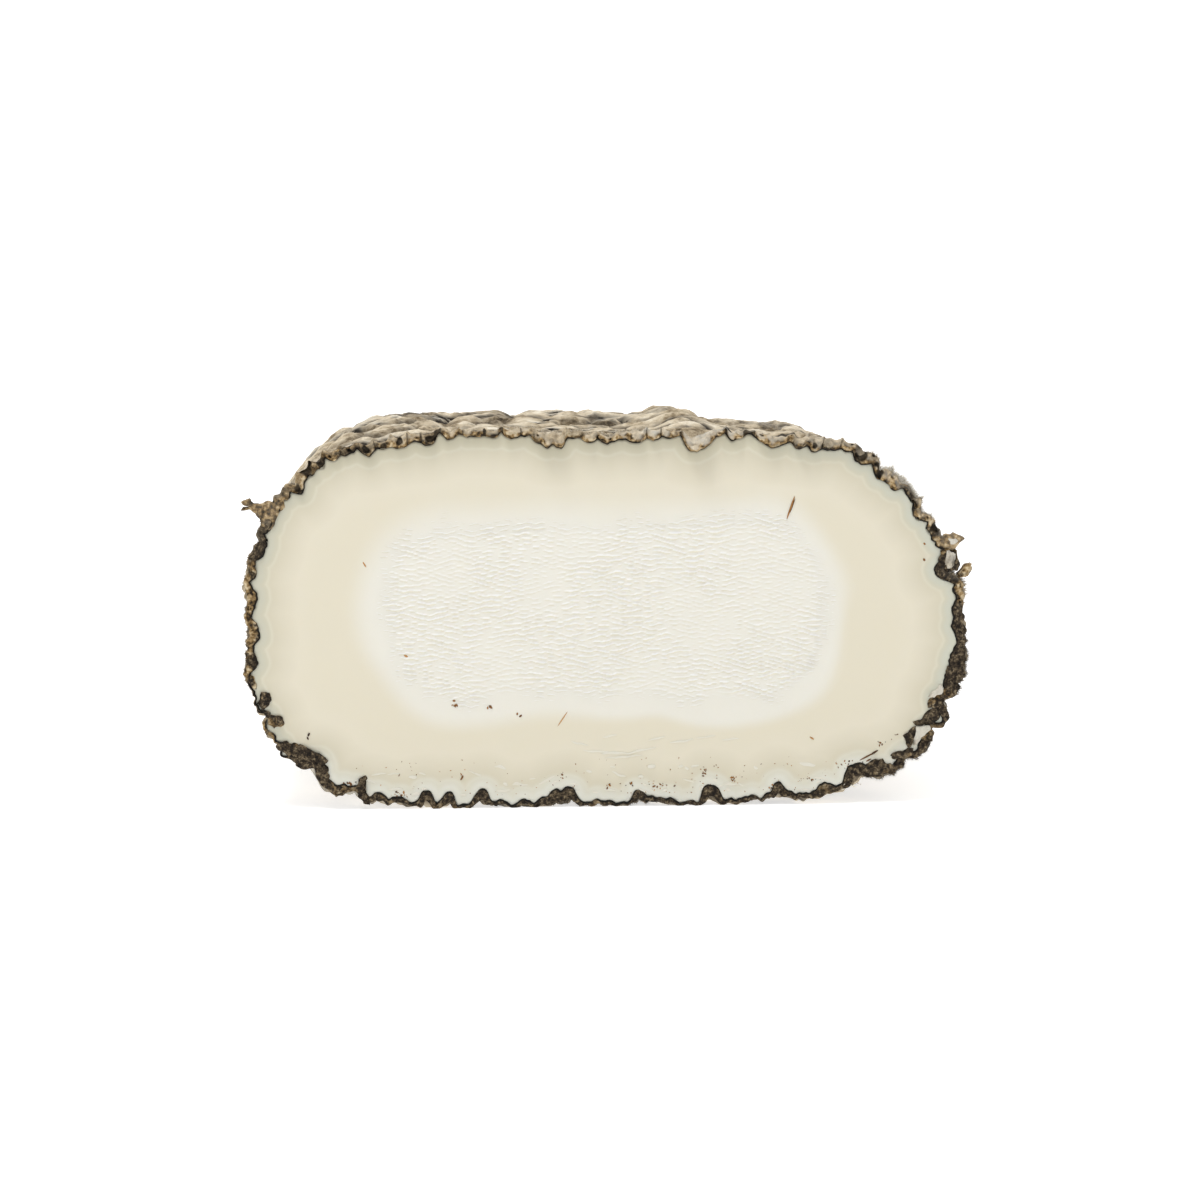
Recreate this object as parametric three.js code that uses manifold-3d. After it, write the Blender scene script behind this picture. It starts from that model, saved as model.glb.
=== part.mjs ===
// Half of a ripened goat cheese log. The whole log is a flattened round bar that lies on its base. It is cut
// square across at the front, and its sides and its far end keep their thick, wrinkled rind.
// Millimetres, +Z up. The cut face looks along -Y, and the log runs back along +Y.
import * as THREE from "three";
import { mergeVertices } from "three/addons/utils/BufferGeometryUtils.js";
import Module from "manifold-3d";

const wasm = await Module();
wasm.setup();

// Overall size of the piece.
const LOG_WIDTH = 131;
const LOG_HEIGHT = 68;
const PIECE_LENGTH = 100;

// Section of the log: flat along the middle of its top and base, with rounded sides. Fullness is 2 for a
// corner that is a quarter of an ellipse, and more for a squarer one.
const HALF_WIDTH = LOG_WIDTH / 2;
const HALF_HEIGHT = 34.4;
const BASE_SAG = 0.8; // how much of the section has sagged flat onto the base
const FLAT_REACH = 28; // half the length of the flat middle
const CORNERS = [
  { side: 1, rise: 1, fullness: 2.1 },
  { side: -1, rise: 1, fullness: 2.5 },
  { side: -1, rise: -1, fullness: 2.5 },
  { side: 1, rise: -1, fullness: 2.4 },
];
const CORNER_RUN = 0.6; // share of a quarter of the outline given to its corner

// Far end of the log.
const END_ROUNDING = 24; // how far before the end the sides start to turn in
const END_INSET = 0.6; // share of the way to the middle where the rounding gives way to the dome
const END_DOME = 4; // how far the dome stands past the rounding

// Rind relief: soft pillows parted by narrow creases, on slow swells.
const CREASE_DEPTH = 2.3;
const CREASE_SHARPNESS = 0.34;
const CREASE_WAVELENGTH = 21;
const CUT_EASE = 0.6; // share of a crease's depth that is missing at the cut, where the folds take over
const CUT_EASE_REACH = 8;
const SWELL_HEIGHT = 0.6;
const SWELL_WAVELENGTH = 52;
const FIELD_WAVES = 28;
const WAVELENGTH_SPREAD = 0.25; // how much longer or shorter than stated a wave can be
const RIND_SEED = 41;

// Folds of the rind that the cut crosses: clock position on the cut face in degrees, counted from the right
// over the top, then depth and half-width. Each runs back from the cut, wanders and dies out.
const FOLDS = [
  [10, 2.6, 1.8],
  [21, 1.6, 1.4],
  [34, 1.8, 1.3],
  [49, 1.5, 1.4],
  [64, 3.2, 2.0],
  [76, 1.8, 1.3],
  [93, 1.6, 1.3],
  [105.5, 2.8, 2.2],
  [120, 1.4, 1.4],
  [132.5, 1.6, 1.3],
  [143, 1.8, 1.4],
  [153, 2.0, 1.4],
  [193.5, 2.6, 1.5],
  [197, 2.4, 1.5],
  [207, 3.0, 1.7],
  [214.5, 3.2, 2.0],
  [218.5, 2.2, 1.3],
  [227.5, 2.4, 1.3],
  [231, 2.8, 1.5],
  [239, 2.8, 1.6],
  [255.5, 3.2, 2.3],
  [281, 2.4, 1.4],
  [298.5, 2.2, 1.4],
  [313, 2.6, 1.6],
  [327, 1.8, 1.6],
  [335, 2.6, 1.6],
  [341, 2.8, 1.6],
  [347, 3.0, 1.6],
];
const FOLD_REACH = 36; // how far behind the cut a fold has died out
const FOLD_WANDER = 2.4;
const WANDER_LENGTH = 44;

// Torn flakes of rind along the cut edge. An outline's points lie on the cut face: across from its middle,
// then up from the base, with the flake's root inside the log.
const FLAKE_SETBACK = 0.3;
const FLAKES = [
  // forked flake, high on the left
  {
    depth: 2.6,
    outline: [
      [-57, 52],
      [-60.8, 50.6],
      [-62.4, 53.4],
      [-64.9, 55.2],
      [-63.4, 55.9],
      [-64.5, 57.3],
      [-61.9, 56.8],
      [-56.6, 57.8],
    ],
  },
  // upper flake, on the right
  {
    depth: 2.4,
    outline: [
      [57.5, 46],
      [60.6, 44.6],
      [63.4, 46.8],
      [64.3, 49.3],
      [61.8, 50],
      [57.6, 50],
    ],
  },
  // tag below it
  {
    depth: 2.2,
    outline: [
      [60, 40.6],
      [64, 40.8],
      [65.3, 43],
      [65.1, 45],
      [61.6, 43.8],
    ],
  },
  // lump, low on the right
  {
    depth: 2.8,
    outline: [
      [52, 13],
      [57.2, 10.4],
      [59.8, 11.1],
      [59.6, 13.4],
      [56, 16],
    ],
  },
];

// Fineness of the skin.
const STEPS_AROUND = 180;
const FIRST_STEP = 1.6;
const STEP_GROWTH = 1.25;
const LONGEST_STEP = 3.9;
const CUT_RING_INSET = 0.2;
const ROUNDING_TURNS = [0, 0.18, 0.36, 0.54, 0.72]; // shares of a quarter turn
const DOME_INSETS = [0.5, 0.64, 0.8, 1];
const OUTLINE_DIVISIONS = 2400;

// The section's outline about its middle, from the right side over the top and round. Each quarter is a
// corner and half of a flat.
class LogOutline extends THREE.Curve {
  getPoint(t, target = new THREE.Vector2()) {
    const quarter = Math.min(Math.floor(4 * t), 3);
    const { side, rise, fullness } = CORNERS[quarter];
    const within = 4 * t - quarter;
    const run = quarter % 2 === 0 ? within : 1 - within; // 0 at the side, 1 at the middle of the flat
    const turn = (Math.min(run / CORNER_RUN, 1) * Math.PI) / 2;
    const flat = FLAT_REACH * (1 - Math.max(run - CORNER_RUN, 0) / (1 - CORNER_RUN));
    const rounded = (HALF_WIDTH - FLAT_REACH) * Math.cos(turn) ** (2 / fullness);
    return target.set(side * (flat + rounded), rise * HALF_HEIGHT * Math.sin(turn) ** (2 / fullness));
  }
}

// A repeatable stream of numbers from 0 to 1.
function seededRandom(seed) {
  const multiplier = 1664525;
  const increment = 1013904223;
  const modulus = 2 ** 32;
  let state = seed;
  return () => {
    state = (state * multiplier + increment) % modulus;
    return state / modulus;
  };
}

// A smooth random field in space, about -2 to 2, made of plane waves in all directions.
function waveField(wavelength, random) {
  const waves = Array.from({ length: FIELD_WAVES }, () => {
    const rise = 2 * random() - 1;
    const turn = 2 * Math.PI * random();
    const level = Math.sqrt(1 - rise * rise);
    const direction = new THREE.Vector3(level * Math.cos(turn), level * Math.sin(turn), rise);
    const stretch = 1 + WAVELENGTH_SPREAD * (2 * random() - 1);
    direction.multiplyScalar((2 * Math.PI) / (wavelength * stretch));
    return { direction, phase: 2 * Math.PI * random() };
  });
  const scale = Math.sqrt(2 / FIELD_WAVES);
  return (point) =>
    scale * waves.reduce((sum, wave) => sum + Math.cos(wave.direction.dot(point) + wave.phase), 0);
}

// Stations along the skin, from the middle of the cut face, over the cut edge and along the side, to the
// middle of the far end. inset is the share of the way from the outline to the middle, endward is how far the
// skin has turned towards the far end, and relief is how much of the rind's relief the station has.
function skinStations() {
  const cutFace = [
    { along: 0, inset: 1, endward: 0, relief: 0 },
    { along: 0, inset: CUT_RING_INSET, endward: 0, relief: 0 },
    { along: 0, inset: 0, endward: 0, relief: 1 },
  ];
  const straight = PIECE_LENGTH - END_ROUNDING;
  const side = [];
  let step = FIRST_STEP;
  for (let along = step; along < straight - LONGEST_STEP / 2; along += step) {
    side.push({ along, inset: 0, endward: 0, relief: 1 });
    step = Math.min(step * STEP_GROWTH, LONGEST_STEP);
  }
  const rounding = ROUNDING_TURNS.map((endward) => {
    const turn = (endward * Math.PI) / 2;
    const along = straight + (END_ROUNDING - END_DOME) * Math.sin(turn);
    return { along, inset: END_INSET * (1 - Math.cos(turn)), endward, relief: 1 };
  });
  const dome = DOME_INSETS.map((inset) => {
    const along = PIECE_LENGTH - END_DOME * ((1 - inset) / (1 - END_INSET)) ** 2;
    return { along, inset, endward: 1, relief: (1 - inset) / (1 - END_INSET / 2) };
  });
  return [...cutFace, ...side, ...rounding, ...dome];
}

// The place along the outline, as a share of its length, of a clock position on the cut face.
function placeOfClock(outline, clock) {
  const aim = new THREE.Vector2(1, 0).rotateAround(new THREE.Vector2(), THREE.MathUtils.degToRad(clock));
  const samples = outline.getSpacedPoints(OUTLINE_DIVISIONS);
  const closeness = samples.map((sample) => sample.normalize().dot(aim));
  return closeness.indexOf(Math.max(...closeness)) / OUTLINE_DIVISIONS;
}

// How far the rind is drawn in at a point of the plain log: creases everywhere, and folds near the cut.
function makeRelief(outline) {
  const random = seededRandom(RIND_SEED);
  const creases = waveField(CREASE_WAVELENGTH, random);
  const swells = waveField(SWELL_WAVELENGTH, random);
  const girth = outline.getLength();
  const folds = FOLDS.map(([clock, depth, halfWidth]) => {
    return { place: placeOfClock(outline, clock), depth, halfWidth, sway: 2 * Math.PI * random() };
  });
  return (place, point) => {
    const grown = 1 - CUT_EASE * Math.exp(-point.y / CUT_EASE_REACH);
    let depth = CREASE_DEPTH * grown * Math.exp(-Math.abs(creases(point)) / CREASE_SHARPNESS);
    depth -= SWELL_HEIGHT * swells(point);
    const fade = Math.max(0, 1 - point.y / FOLD_REACH) ** 2;
    for (const fold of folds) {
      const phase = (2 * Math.PI * point.y) / WANDER_LENGTH + fold.sway;
      const wander = FOLD_WANDER * (Math.sin(phase) - Math.sin(fold.sway));
      const share = place - fold.place;
      const apart = (share - Math.round(share)) * girth - wander;
      depth += fade * fold.depth * Math.exp(-((apart / fold.halfWidth) ** 2));
    }
    return depth;
  };
}

// The log's skin: a plain turned log whose rings are carried onto the section and then wrinkled.
function makeLog() {
  const outline = new LogOutline();
  outline.arcLengthDivisions = OUTLINE_DIVISIONS;
  const drawnIn = makeRelief(outline);
  const stations = skinStations();
  const profile = stations.map((station) => new THREE.Vector2(1 - station.inset, station.along));
  const geometry = new THREE.LatheGeometry(profile, STEPS_AROUND);
  const position = geometry.getAttribute("position");
  const point = new THREE.Vector3();
  const outward = new THREE.Vector3();
  for (let i = 0; i < position.count; i++) {
    const { along, inset, endward, relief } = stations[i % stations.length];
    const step = Math.floor(i / stations.length) % STEPS_AROUND;
    const place = 1 - (step + 0.5) / STEPS_AROUND;
    const rim = outline.getPointAt(place);
    const tangent = outline.getTangentAt(place);
    const middle = (1 - inset) * THREE.MathUtils.clamp(rim.x, -FLAT_REACH, FLAT_REACH);
    point.set(THREE.MathUtils.lerp(rim.x, middle, inset), along, THREE.MathUtils.lerp(rim.y, 0, inset));
    const turn = (endward * Math.PI) / 2;
    outward.set(tangent.y * Math.cos(turn), Math.sin(turn), -tangent.x * Math.cos(turn));
    point.addScaledVector(outward, -relief * drawnIn(place, point));
    position.setXYZ(i, point.x, point.y, Math.max(point.z, BASE_SAG - HALF_HEIGHT));
  }
  return fitToSize(geometry);
}

// Brings the wrinkled log to its stated size, centred over the middle of its base.
function fitToSize(geometry) {
  geometry.computeBoundingBox();
  const { min, max } = geometry.boundingBox;
  geometry.translate(-(min.x + max.x) / 2, -(min.y + max.y) / 2, -min.z);
  return geometry.scale(
    LOG_WIDTH / (max.x - min.x),
    PIECE_LENGTH / (max.y - min.y),
    LOG_HEIGHT / (max.z - min.z),
  );
}

// One torn flake: its outline on the cut face, given depth behind the cut.
function makeFlake({ depth, outline }) {
  const shape = new THREE.Shape(outline.map(([across, up]) => new THREE.Vector2(across, up)));
  const geometry = new THREE.ExtrudeGeometry(shape, { depth, bevelEnabled: false });
  geometry.rotateX(Math.PI / 2);
  return geometry.translate(0, FLAKE_SETBACK + depth - PIECE_LENGTH / 2, 0);
}

// A closed geometry as a solid that others can be joined to.
function toSolid(geometry) {
  geometry.deleteAttribute("normal");
  geometry.deleteAttribute("uv");
  const merged = mergeVertices(geometry);
  const vertProperties = merged.getAttribute("position").array;
  const triVerts = new Uint32Array(merged.index.array);
  return new wasm.Manifold(new wasm.Mesh({ numProp: 3, vertProperties, triVerts }));
}

// A solid as a geometry to show.
function toGeometry(solid) {
  const mesh = solid.getMesh();
  const geometry = new THREE.BufferGeometry();
  geometry.setAttribute("position", new THREE.BufferAttribute(mesh.vertProperties, 3));
  geometry.setIndex(new THREE.BufferAttribute(mesh.triVerts, 1));
  geometry.computeVertexNormals();
  return geometry;
}

const cheeseMaterial = new THREE.MeshStandardMaterial({ color: 0xe4ddca, roughness: 0.6, metalness: 0 });

let cheese = toSolid(makeLog());
for (const flake of FLAKES) {
  cheese = cheese.add(toSolid(makeFlake(flake)));
}

const log = new THREE.Mesh(toGeometry(cheese), cheeseMaterial);
log.name = "goat_cheese_log";

const part = new THREE.Group();
part.add(log);

export default part;
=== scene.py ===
import math

import bmesh
import bpy
import numpy as np
from mathutils import Matrix, Vector


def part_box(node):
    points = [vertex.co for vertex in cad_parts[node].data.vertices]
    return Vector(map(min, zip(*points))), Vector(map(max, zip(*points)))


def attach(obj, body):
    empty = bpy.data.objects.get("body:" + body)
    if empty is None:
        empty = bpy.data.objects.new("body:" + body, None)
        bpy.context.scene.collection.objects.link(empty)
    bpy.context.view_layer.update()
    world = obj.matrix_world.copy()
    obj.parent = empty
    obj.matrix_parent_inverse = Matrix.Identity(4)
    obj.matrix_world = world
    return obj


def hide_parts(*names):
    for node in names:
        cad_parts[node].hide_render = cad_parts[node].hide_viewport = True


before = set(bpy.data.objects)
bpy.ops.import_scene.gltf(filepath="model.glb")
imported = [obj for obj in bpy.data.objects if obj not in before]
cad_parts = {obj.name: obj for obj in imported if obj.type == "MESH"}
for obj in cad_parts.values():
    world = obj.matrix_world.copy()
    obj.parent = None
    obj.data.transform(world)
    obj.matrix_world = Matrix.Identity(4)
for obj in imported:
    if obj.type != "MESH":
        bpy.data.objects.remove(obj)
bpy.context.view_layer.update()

mm = 0.001
cheeseNode = "goat_cheese_log"
lowCorner, highCorner = (np.array(corner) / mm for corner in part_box(cheeseNode))
logWidth, pieceLength, _ = highCorner - lowCorner

# The section of the log, in millimetres about its own middle. along is counted from the cut face.
log = {
    "halfHeight": 34.4,
    "baseSag": 0.8,  # what has sagged flat onto the base
    "flatReach": 28.0,  # half of the flat middle of the top and the base
    "fullness": (2.1, 2.5, 2.5, 2.4),  # corners, from the upper right over the top and round
    "cornerRun": 0.6,
    "endRounding": 24.0,
    "endInset": 0.6,
    "endDome": 4.0,
    "divisions": 4800,
    "tangentReach": 0.4,
}
halfWidth = logWidth / 2


def sectionPoints():
    t = np.linspace(0, 1, log["divisions"] + 1)
    quarter = np.minimum((4 * t).astype(int), 3)
    within = 4 * t - quarter
    run = np.where(quarter % 2 == 0, within, 1 - within)  # 0 at the side, 1 at the middle of a flat
    turn = np.minimum(run / log["cornerRun"], 1) * math.pi / 2
    flat = log["flatReach"] * (1 - np.maximum(run - log["cornerRun"], 0) / (1 - log["cornerRun"]))
    power = 2 / np.array(log["fullness"])[quarter]
    side = np.array((1, -1, -1, 1))[quarter]
    rise = np.array((1, 1, -1, -1))[quarter]
    across = side * (flat + (halfWidth - log["flatReach"]) * np.cos(turn).clip(0) ** power)
    return np.stack((across, rise * log["halfHeight"] * np.sin(turn) ** power), 1)


section = sectionPoints()
sectionTravel = np.concatenate(((0,), np.cumsum(np.hypot(*np.diff(section, axis=0).T))))
girth = sectionTravel[-1]


# Points of the section's outline at shares of its girth, and the directions out of it.
def outlineAt(place):
    travel = (place % 1) * girth
    across = np.interp(travel, sectionTravel, section[:, 0])
    return np.stack((across, np.interp(travel, sectionTravel, section[:, 1])), 1)


def outlineDirections(place):
    step = log["tangentReach"] / girth
    tangent = outlineAt(place + step) - outlineAt(place - step)
    tangent /= np.hypot(*tangent.T)[:, None]
    return np.stack((tangent[:, 1], -tangent[:, 0]), 1)


def clockOf(place):
    point = outlineAt(place)
    return np.degrees(np.arctan2(point[:, 1], point[:, 0])) % 360


allPlaces = np.linspace(0, 1, log["divisions"], endpoint=False)
allClocks = clockOf(allPlaces)


def placeOf(clock):
    apart = (allClocks - clock + 180) % 360 - 180
    return allPlaces[np.argmin(np.abs(apart))]


# Seeded numbers and smooth random fields made of plane waves.
def seededNumbers(seed):
    state = seed
    while True:
        state = (state * 1664525 + 1013904223) % 2**32
        yield state / 2**32


def waveList(wavelength, numbers, count=28, spread=0.25):
    waves = []
    for _ in range(count):
        rise = 2 * next(numbers) - 1
        turn = 2 * math.pi * next(numbers)
        level = math.sqrt(1 - rise * rise)
        size = 2 * math.pi / (wavelength * (1 + spread * (2 * next(numbers) - 1)))
        phase = 2 * math.pi * next(numbers)
        waves.append((size * level * math.cos(turn), size * level * math.sin(turn), size * rise, phase))
    return np.array(waves)


def fieldOf(waves):
    share = math.sqrt(2 / len(waves))
    return lambda points: share * np.cos(points @ waves[:, :3].T + waves[:, 3]).sum(1)


def waveField(wavelength, numbers, count=28):
    return fieldOf(waveList(wavelength, numbers, count))


# How far points lie from the lines where a field changes sign, with the sign of their side.
def lineDistance(waves, points):
    phase = points @ waves[:, :3].T + waves[:, 3]
    slope = np.linalg.norm(np.sin(phase) @ waves[:, :3], axis=1)
    usual = np.linalg.norm(waves[:, :3], axis=1).mean() * math.sqrt(len(waves) / 2)
    return np.cos(phase).sum(1) / np.hypot(slope, 0.4 * usual)  # calm where the field is level


def smoothStep(low, high, value):
    share = np.clip((value - low) / (high - low), 0, 1)
    return share * share * (3 - 2 * share)


# A smooth bump of height 1.
def bell(apart, reach):
    return np.exp(-((apart / reach) ** 2))


# The rind: creases and swells all over, folds and lobes where the cut crosses it, wrinkles and grain.
rind = {
    "seed": 41,
    "creaseDepth": 2.4,
    "creaseSharpness": 0.2,
    "creaseWavelength": 21.0,
    "creaseWidth": 1.6,
    "cutEase": 0.6,
    "cutEaseReach": 8.0,
    "swellHeight": 0.3,
    "swellWavelength": 52.0,
    "foldReach": 36.0,
    "foldWander": 2.4,
    "wanderLength": 44.0,
    "lobeReach": 4.5,
    "lobeTail": 30.0,
    "lobeSway": 0.22,
    "lengthwiseRun": (3, 36),  # where the lengthwise swells begin and are whole
    "wrinkleDepth": 1.5,
    "wrinkleWavelength": 8.4,
    "wrinkleWidth": 0.9,
    "cutWrinkles": (0.3, 6.0),  # share of the wrinkles at the cut, and how soon they are whole
    "wrinkleStretch": (0.62, 1.0, 0.62),  # wrinkles run round the log
    "lineShift": (0.0, 0.6, 0.0),  # painted shade along the creases lies on their sides that face the cut
    "grainHeight": 0.2,
    "grainWavelength": 2.0,
    "backGrain": 0.4,
    "ruffleWavelength": 2.6,
    "toneWavelength": 30,
    "columns": 1480,
    "bandRows": 13,
    "backShare": 4,  # columns of the edge to one of the back
    "edgeStart": 0.12,
    "edgeSteps": (0.2, 0.06, 0.62),  # first step, growth with the distance, largest step
    "backStep": 1.0,
    "seam": 6.0,  # where the fine edge gives way to the coarser back
    "innerWall": 6.5,
    "lift": 0.12,  # how far the cut band stands proud of the paste
    "lip": 0.35,  # how far the skin rolls over at the cut
    "lobeShare": 0.3,  # of a lobe, what dents the outside too
    "knobHeight": 0.12,
    "knobWavelength": 4.4,
    "lobeDeepness": 1.2,
    "beadHeight": 0.5,  # how far a lobe bulges out of the cut, for each millimetre that it hangs
    "pinchShare": 0.55,  # of a fold under the log, what dents the outside too
    "pinchWidth": 0.75,
    "pinched": (215, 325),  # clock positions of the folds under the log
    "overhung": (11, 190),  # clock positions of the folds that only show behind the edge
    "bandWobble": 0.2,
    "bandRange": (0.25, 3.5),  # least width of the cut band, and how far off it is felt
    "bandRuffles": (0.12, 0.06),
    "bandEase": 0.22,
    "pitDepth": 0.9,
    "pitDarkness": 0.7,  # of the lobes that have a pit
    "pitless": (46, 126),  # clock positions without pits
    "pitMiddle": 0.45,  # share of the band's width
    "pitSize": 0.28,  # share of the lobe's width
    "pitRoughness": 0.45,
    "skinShare": 0.75,  # how far pale skin hides the cut
    "freshReach": 0.9,
    "tornReach": 7.0,
    # how much painted shade each kind of hollow gets; raised grain and knobs get less
    "darkness": {"crease": 0.4, "fold": 0.7, "lobe": 0.6, "wrinkle": 0.3, "grain": 0.1, "knob": 0.12},
    # clock position, half-width and strength; the first is a patch high on the left where the rind is
    # painted darker
    "darkerPatch": (140, 18, 0.28),
    "paleRight": (26, 16, 0.5),
    "paleFront": (60, 14, 0.55),
    "paleFrontReach": 10,
    "paleTone": 0.2,
    # clock position in degrees, depth, half-width, extra width of the dark cut band, lean
    "folds": (
        (10, 2.2, 1.9, 0, 0), (21, 1.6, 1.4, 0, 0), (34, 1.8, 1.3, 0, 0), (49, 1.5, 1.4, 0, 0),
        (64, 3.2, 2, 0, 0), (76, 1.8, 1.3, 0, 0), (93, 1.6, 1.3, 0, 0), (105.5, 2.8, 2.2, 0, 0),
        (120, 1.4, 1.4, 0, 0), (132.5, 1.6, 1.3, 0, 0), (143, 1.8, 1.4, 0, 0), (153, 2, 1.4, 0, 0),
        (194.3, 1.4, 0.8, 0, 0), (200, 0.6, 1, 0, 0), (207, 1.8, 1.6, 0.2, 0), (214.5, 1.4, 2, 0.2, 0),
        (217.9, 2.2, 0.8, 0.3, 0.3), (220.6, 0.7, 2, 0.2, 0), (225.9, 2.4, 0.8, 0.5, 0.2),
        (230.2, 2.6, 0.9, 0.4, -0.5), (236.6, 2.6, 1.4, 0.6, -0.3), (246, 0.4, 1.2, 0, 0),
        (255, 1.6, 2.2, 0.8, -0.3), (258.6, 2.2, 1.3, 0.6, 0.5), (271, 0.4, 1.4, 0, 0),
        (279.6, 1.8, 1.5, 0.5, 0.7), (289, 0.5, 1.2, 0.1, 0), (298.6, 2.4, 1.6, 0.6, 0.75),
        (307, 0.6, 1, 0.2, 0.3), (312.8, 2.4, 1.1, 0.4, 0.6), (321, 0.9, 1.2, 0.5, 0.3),
        (327, 1, 1.4, 0.4, 0), (335, 1.5, 1.1, 0, 0), (341, 2, 1.5, 0, 0), (347, 1.9, 1.4, 0, 0),
    ),
    # clock position, width, depth and darkness (painted shade) of the rounded lobes that the cut edge hangs
    # in
    "lobes": (
        (15, 1.9, 1, 0.5), (17.2, 2.2, 1.2, 0.7), (20.6, 3.4, 1.3, 0.1), (24.5, 2.4, 0.9, 0.2),
        (27.3, 2.6, 1, 0.6), (30.4, 3, 1.2, 0.8), (33.6, 2.1, 1.2, 1), (36.4, 2.4, 1, 0.3),
        (39.2, 2.8, 1.4, 0.4), (41.6, 2, 1.7, 0.8), (44.1, 2.6, 1.8, 0.5), (49.3, 5.6, 1.4, 0.2),
        (56, 3.4, 1, 0.2), (59.8, 2.3, 1, 0.7), (64.4, 6, 2.8, 0.3), (71.3, 2.8, 1.1, 0.1),
        (75.8, 2.8, 1.6, 0.7), (81.2, 3.6, 1.6, 0.6), (86.8, 3.2, 1.1, 0.2), (91.2, 2.5, 1, 0.7),
        (95.4, 3, 1.6, 0.7), (100, 3.2, 0.9, 0.2), (106.3, 5.8, 2.4, 0.2), (112.3, 2.2, 0.8, 0.8),
        (116.5, 3.6, 1.2, 0.2), (121, 2.6, 1, 0.8), (125.2, 4.4, 0.8, 0.1), (129.4, 3.2, 1.2, 0.2),
        (132.5, 2.5, 1.6, 0.9), (135.2, 2.2, 0.9, 0.6), (137.6, 2, 1.5, 1), (139.8, 2.2, 1.1, 0.9),
        (142.4, 2.3, 1.6, 1), (144.9, 2.2, 1, 0.7), (147.3, 2.5, 1.2, 0.2), (149.6, 1.9, 1, 0.7),
        (151.9, 2.4, 1.5, 1), (154.3, 2.2, 1.6, 1), (156.6, 1.9, 0.9, 0.6), (158.8, 2.1, 1, 0.7),
        (162, 2.3, 0.8, 0.5), (166, 2.6, 0.9, 0.6), (170, 2.4, 0.7, 0.5), (175, 2.8, 0.9, 0.5),
        (180, 2.4, 0.3, 0.4), (185, 2.6, 0.35, 0.5),
    ),
    # clock position, half-width in degrees, how far the log stands in along its length, share at the cut
    "lengthwise": (
        (129.7, 2.6, 0.4, 0), (115, 2.8, 0.35, 0), (93.3, 2.8, 0.45, 0), (71.7, 2.8, 0.3, 0),
        (54.3, 3, 0.5, 0), (144, 13, -2, 0.1), (34, 8, -1.2, 1), (92, 20, -1, 0.1), (47, 9, 0.9, 0.1),
        (120, 10, -1.3, 0.1), (63, 8, -2.3, 0.1),
    ),
    # clock position, how much pale skin hangs over the cut
    "curtain": (
        (0, 0), (18, 0.2), (30, 0.5), (45, 0.9), (60, 1), (125, 1), (140, 0.8), (155, 0.5), (165, 0.15),
        (175, 0), (360, 0),
    ),
    # clock position, half-width and strength of the white torn places beside the cut
    "torn": (
        (8, 2.4, 0.9), (24, 5, 0.7), (207, 2.2, 0.9), (214.5, 2.4, 0.8), (341, 2, 0.8), (347, 1.6, 0.8),
    ),
    # clock position, height of the edge above the rind behind it
    "edgeRise": (
        (0, 0.8), (15, 1), (30, 1.4), (45, 2.7), (58, 2.9), (75, 2.9), (110, 2.9), (130, 3.1), (150, 2.5),
        (162, 1.1), (180, 0.6), (190, 0.9), (197, 0.5), (215, 0), (318, -0.2), (326, -1), (332, 0.4),
        (337, 1.4), (345, 1), (360, 0.8),
    ),
    # clock position, share of golden skin along the cut
    "golden": (
        (0, 0.2), (8, 0.35), (14, 0.5), (30, 0.6), (50, 0.9), (130, 0.95), (160, 0.7), (170, 0.45),
        (190, 0.3), (205, 0.2), (215, 0), (335, 0), (352, 0.1), (360, 0.2),
    ),
    # clock position, how unbroken the dark line inside the band is
    "lineShare": (
        (0, 1), (10, 1), (30, 0.8), (50, 0.55), (130, 0.55), (150, 0.8), (165, 1), (360, 1),
    ),
    # clock position, width of the cut band
    "bandWidth": (
        (0, 2.3), (6, 1.6), (14, 1.1), (26, 1), (34, 1.4), (42, 0.9), (60, 0.6), (125, 0.6), (150, 0.7),
        (160, 0.9), (172, 1.2), (186, 1), (190, 0.5), (202, 0.5), (205, 1.7), (212, 1.7), (216, 0.6),
        (300, 0.6), (316, 0.8), (322, 1.3), (332, 1.6), (345, 1.5), (351, 2.3), (360, 2.3),
    ),
}
rindNumbers = seededNumbers(rind["seed"])
creaseWaves = waveList(rind["creaseWavelength"], rindNumbers)
creaseField = fieldOf(creaseWaves)
swellField = waveField(rind["swellWavelength"], rindNumbers)
foldPlaces = [(placeOf(fold[0]), fold, 2 * math.pi * next(rindNumbers)) for fold in rind["folds"]]
wrinkleWaves = waveList(rind["wrinkleWavelength"], rindNumbers, 40)
wrinkleField = fieldOf(wrinkleWaves)
grainField = waveField(rind["grainWavelength"], rindNumbers, 40)
toneField = waveField(rind["toneWavelength"], rindNumbers)
ruffleField = waveField(rind["ruffleWavelength"], rindNumbers, 40)
knobField = waveField(rind["knobWavelength"], rindNumbers, 40)
lobePlaces = [(placeOf(lobe[0]), lobe) for lobe in rind["lobes"]]
tornPlaces = [(placeOf(torn[0]), torn) for torn in rind["torn"]]


def girthApart(place, other):
    share = place - other
    return (share - np.round(share)) * girth


# A value from one of the rind's tables by clock position.
def byClock(name, place):
    clocks, values = zip(*rind[name])
    return np.interp(clockOf(place), clocks, values)


# Evens out values round the rim, over a reach in millimetres.
def smoothed(values, reach):
    share = np.fft.rfftfreq(len(values), girth / len(values))
    return np.fft.irfft(np.fft.rfft(values) * np.exp(-2 * (math.pi * reach * share) ** 2), len(values))


# How much of each fold is felt at places on one ring.
def foldShares(place, along):
    for foldPlace, fold, sway in foldPlaces:
        turn = 2 * math.pi * along / rind["wanderLength"] + sway
        apart = girthApart(place, foldPlace) - rind["foldWander"] * (math.sin(turn) - math.sin(sway))
        wide = fold[2] * (1 + fold[4] * np.sign(apart))
        pinched = isBetween(fold, "pinched")
        yield fold, np.exp(-np.abs(apart) / (rind["pinchWidth"] * wide)) if pinched else bell(apart, wide)


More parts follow.
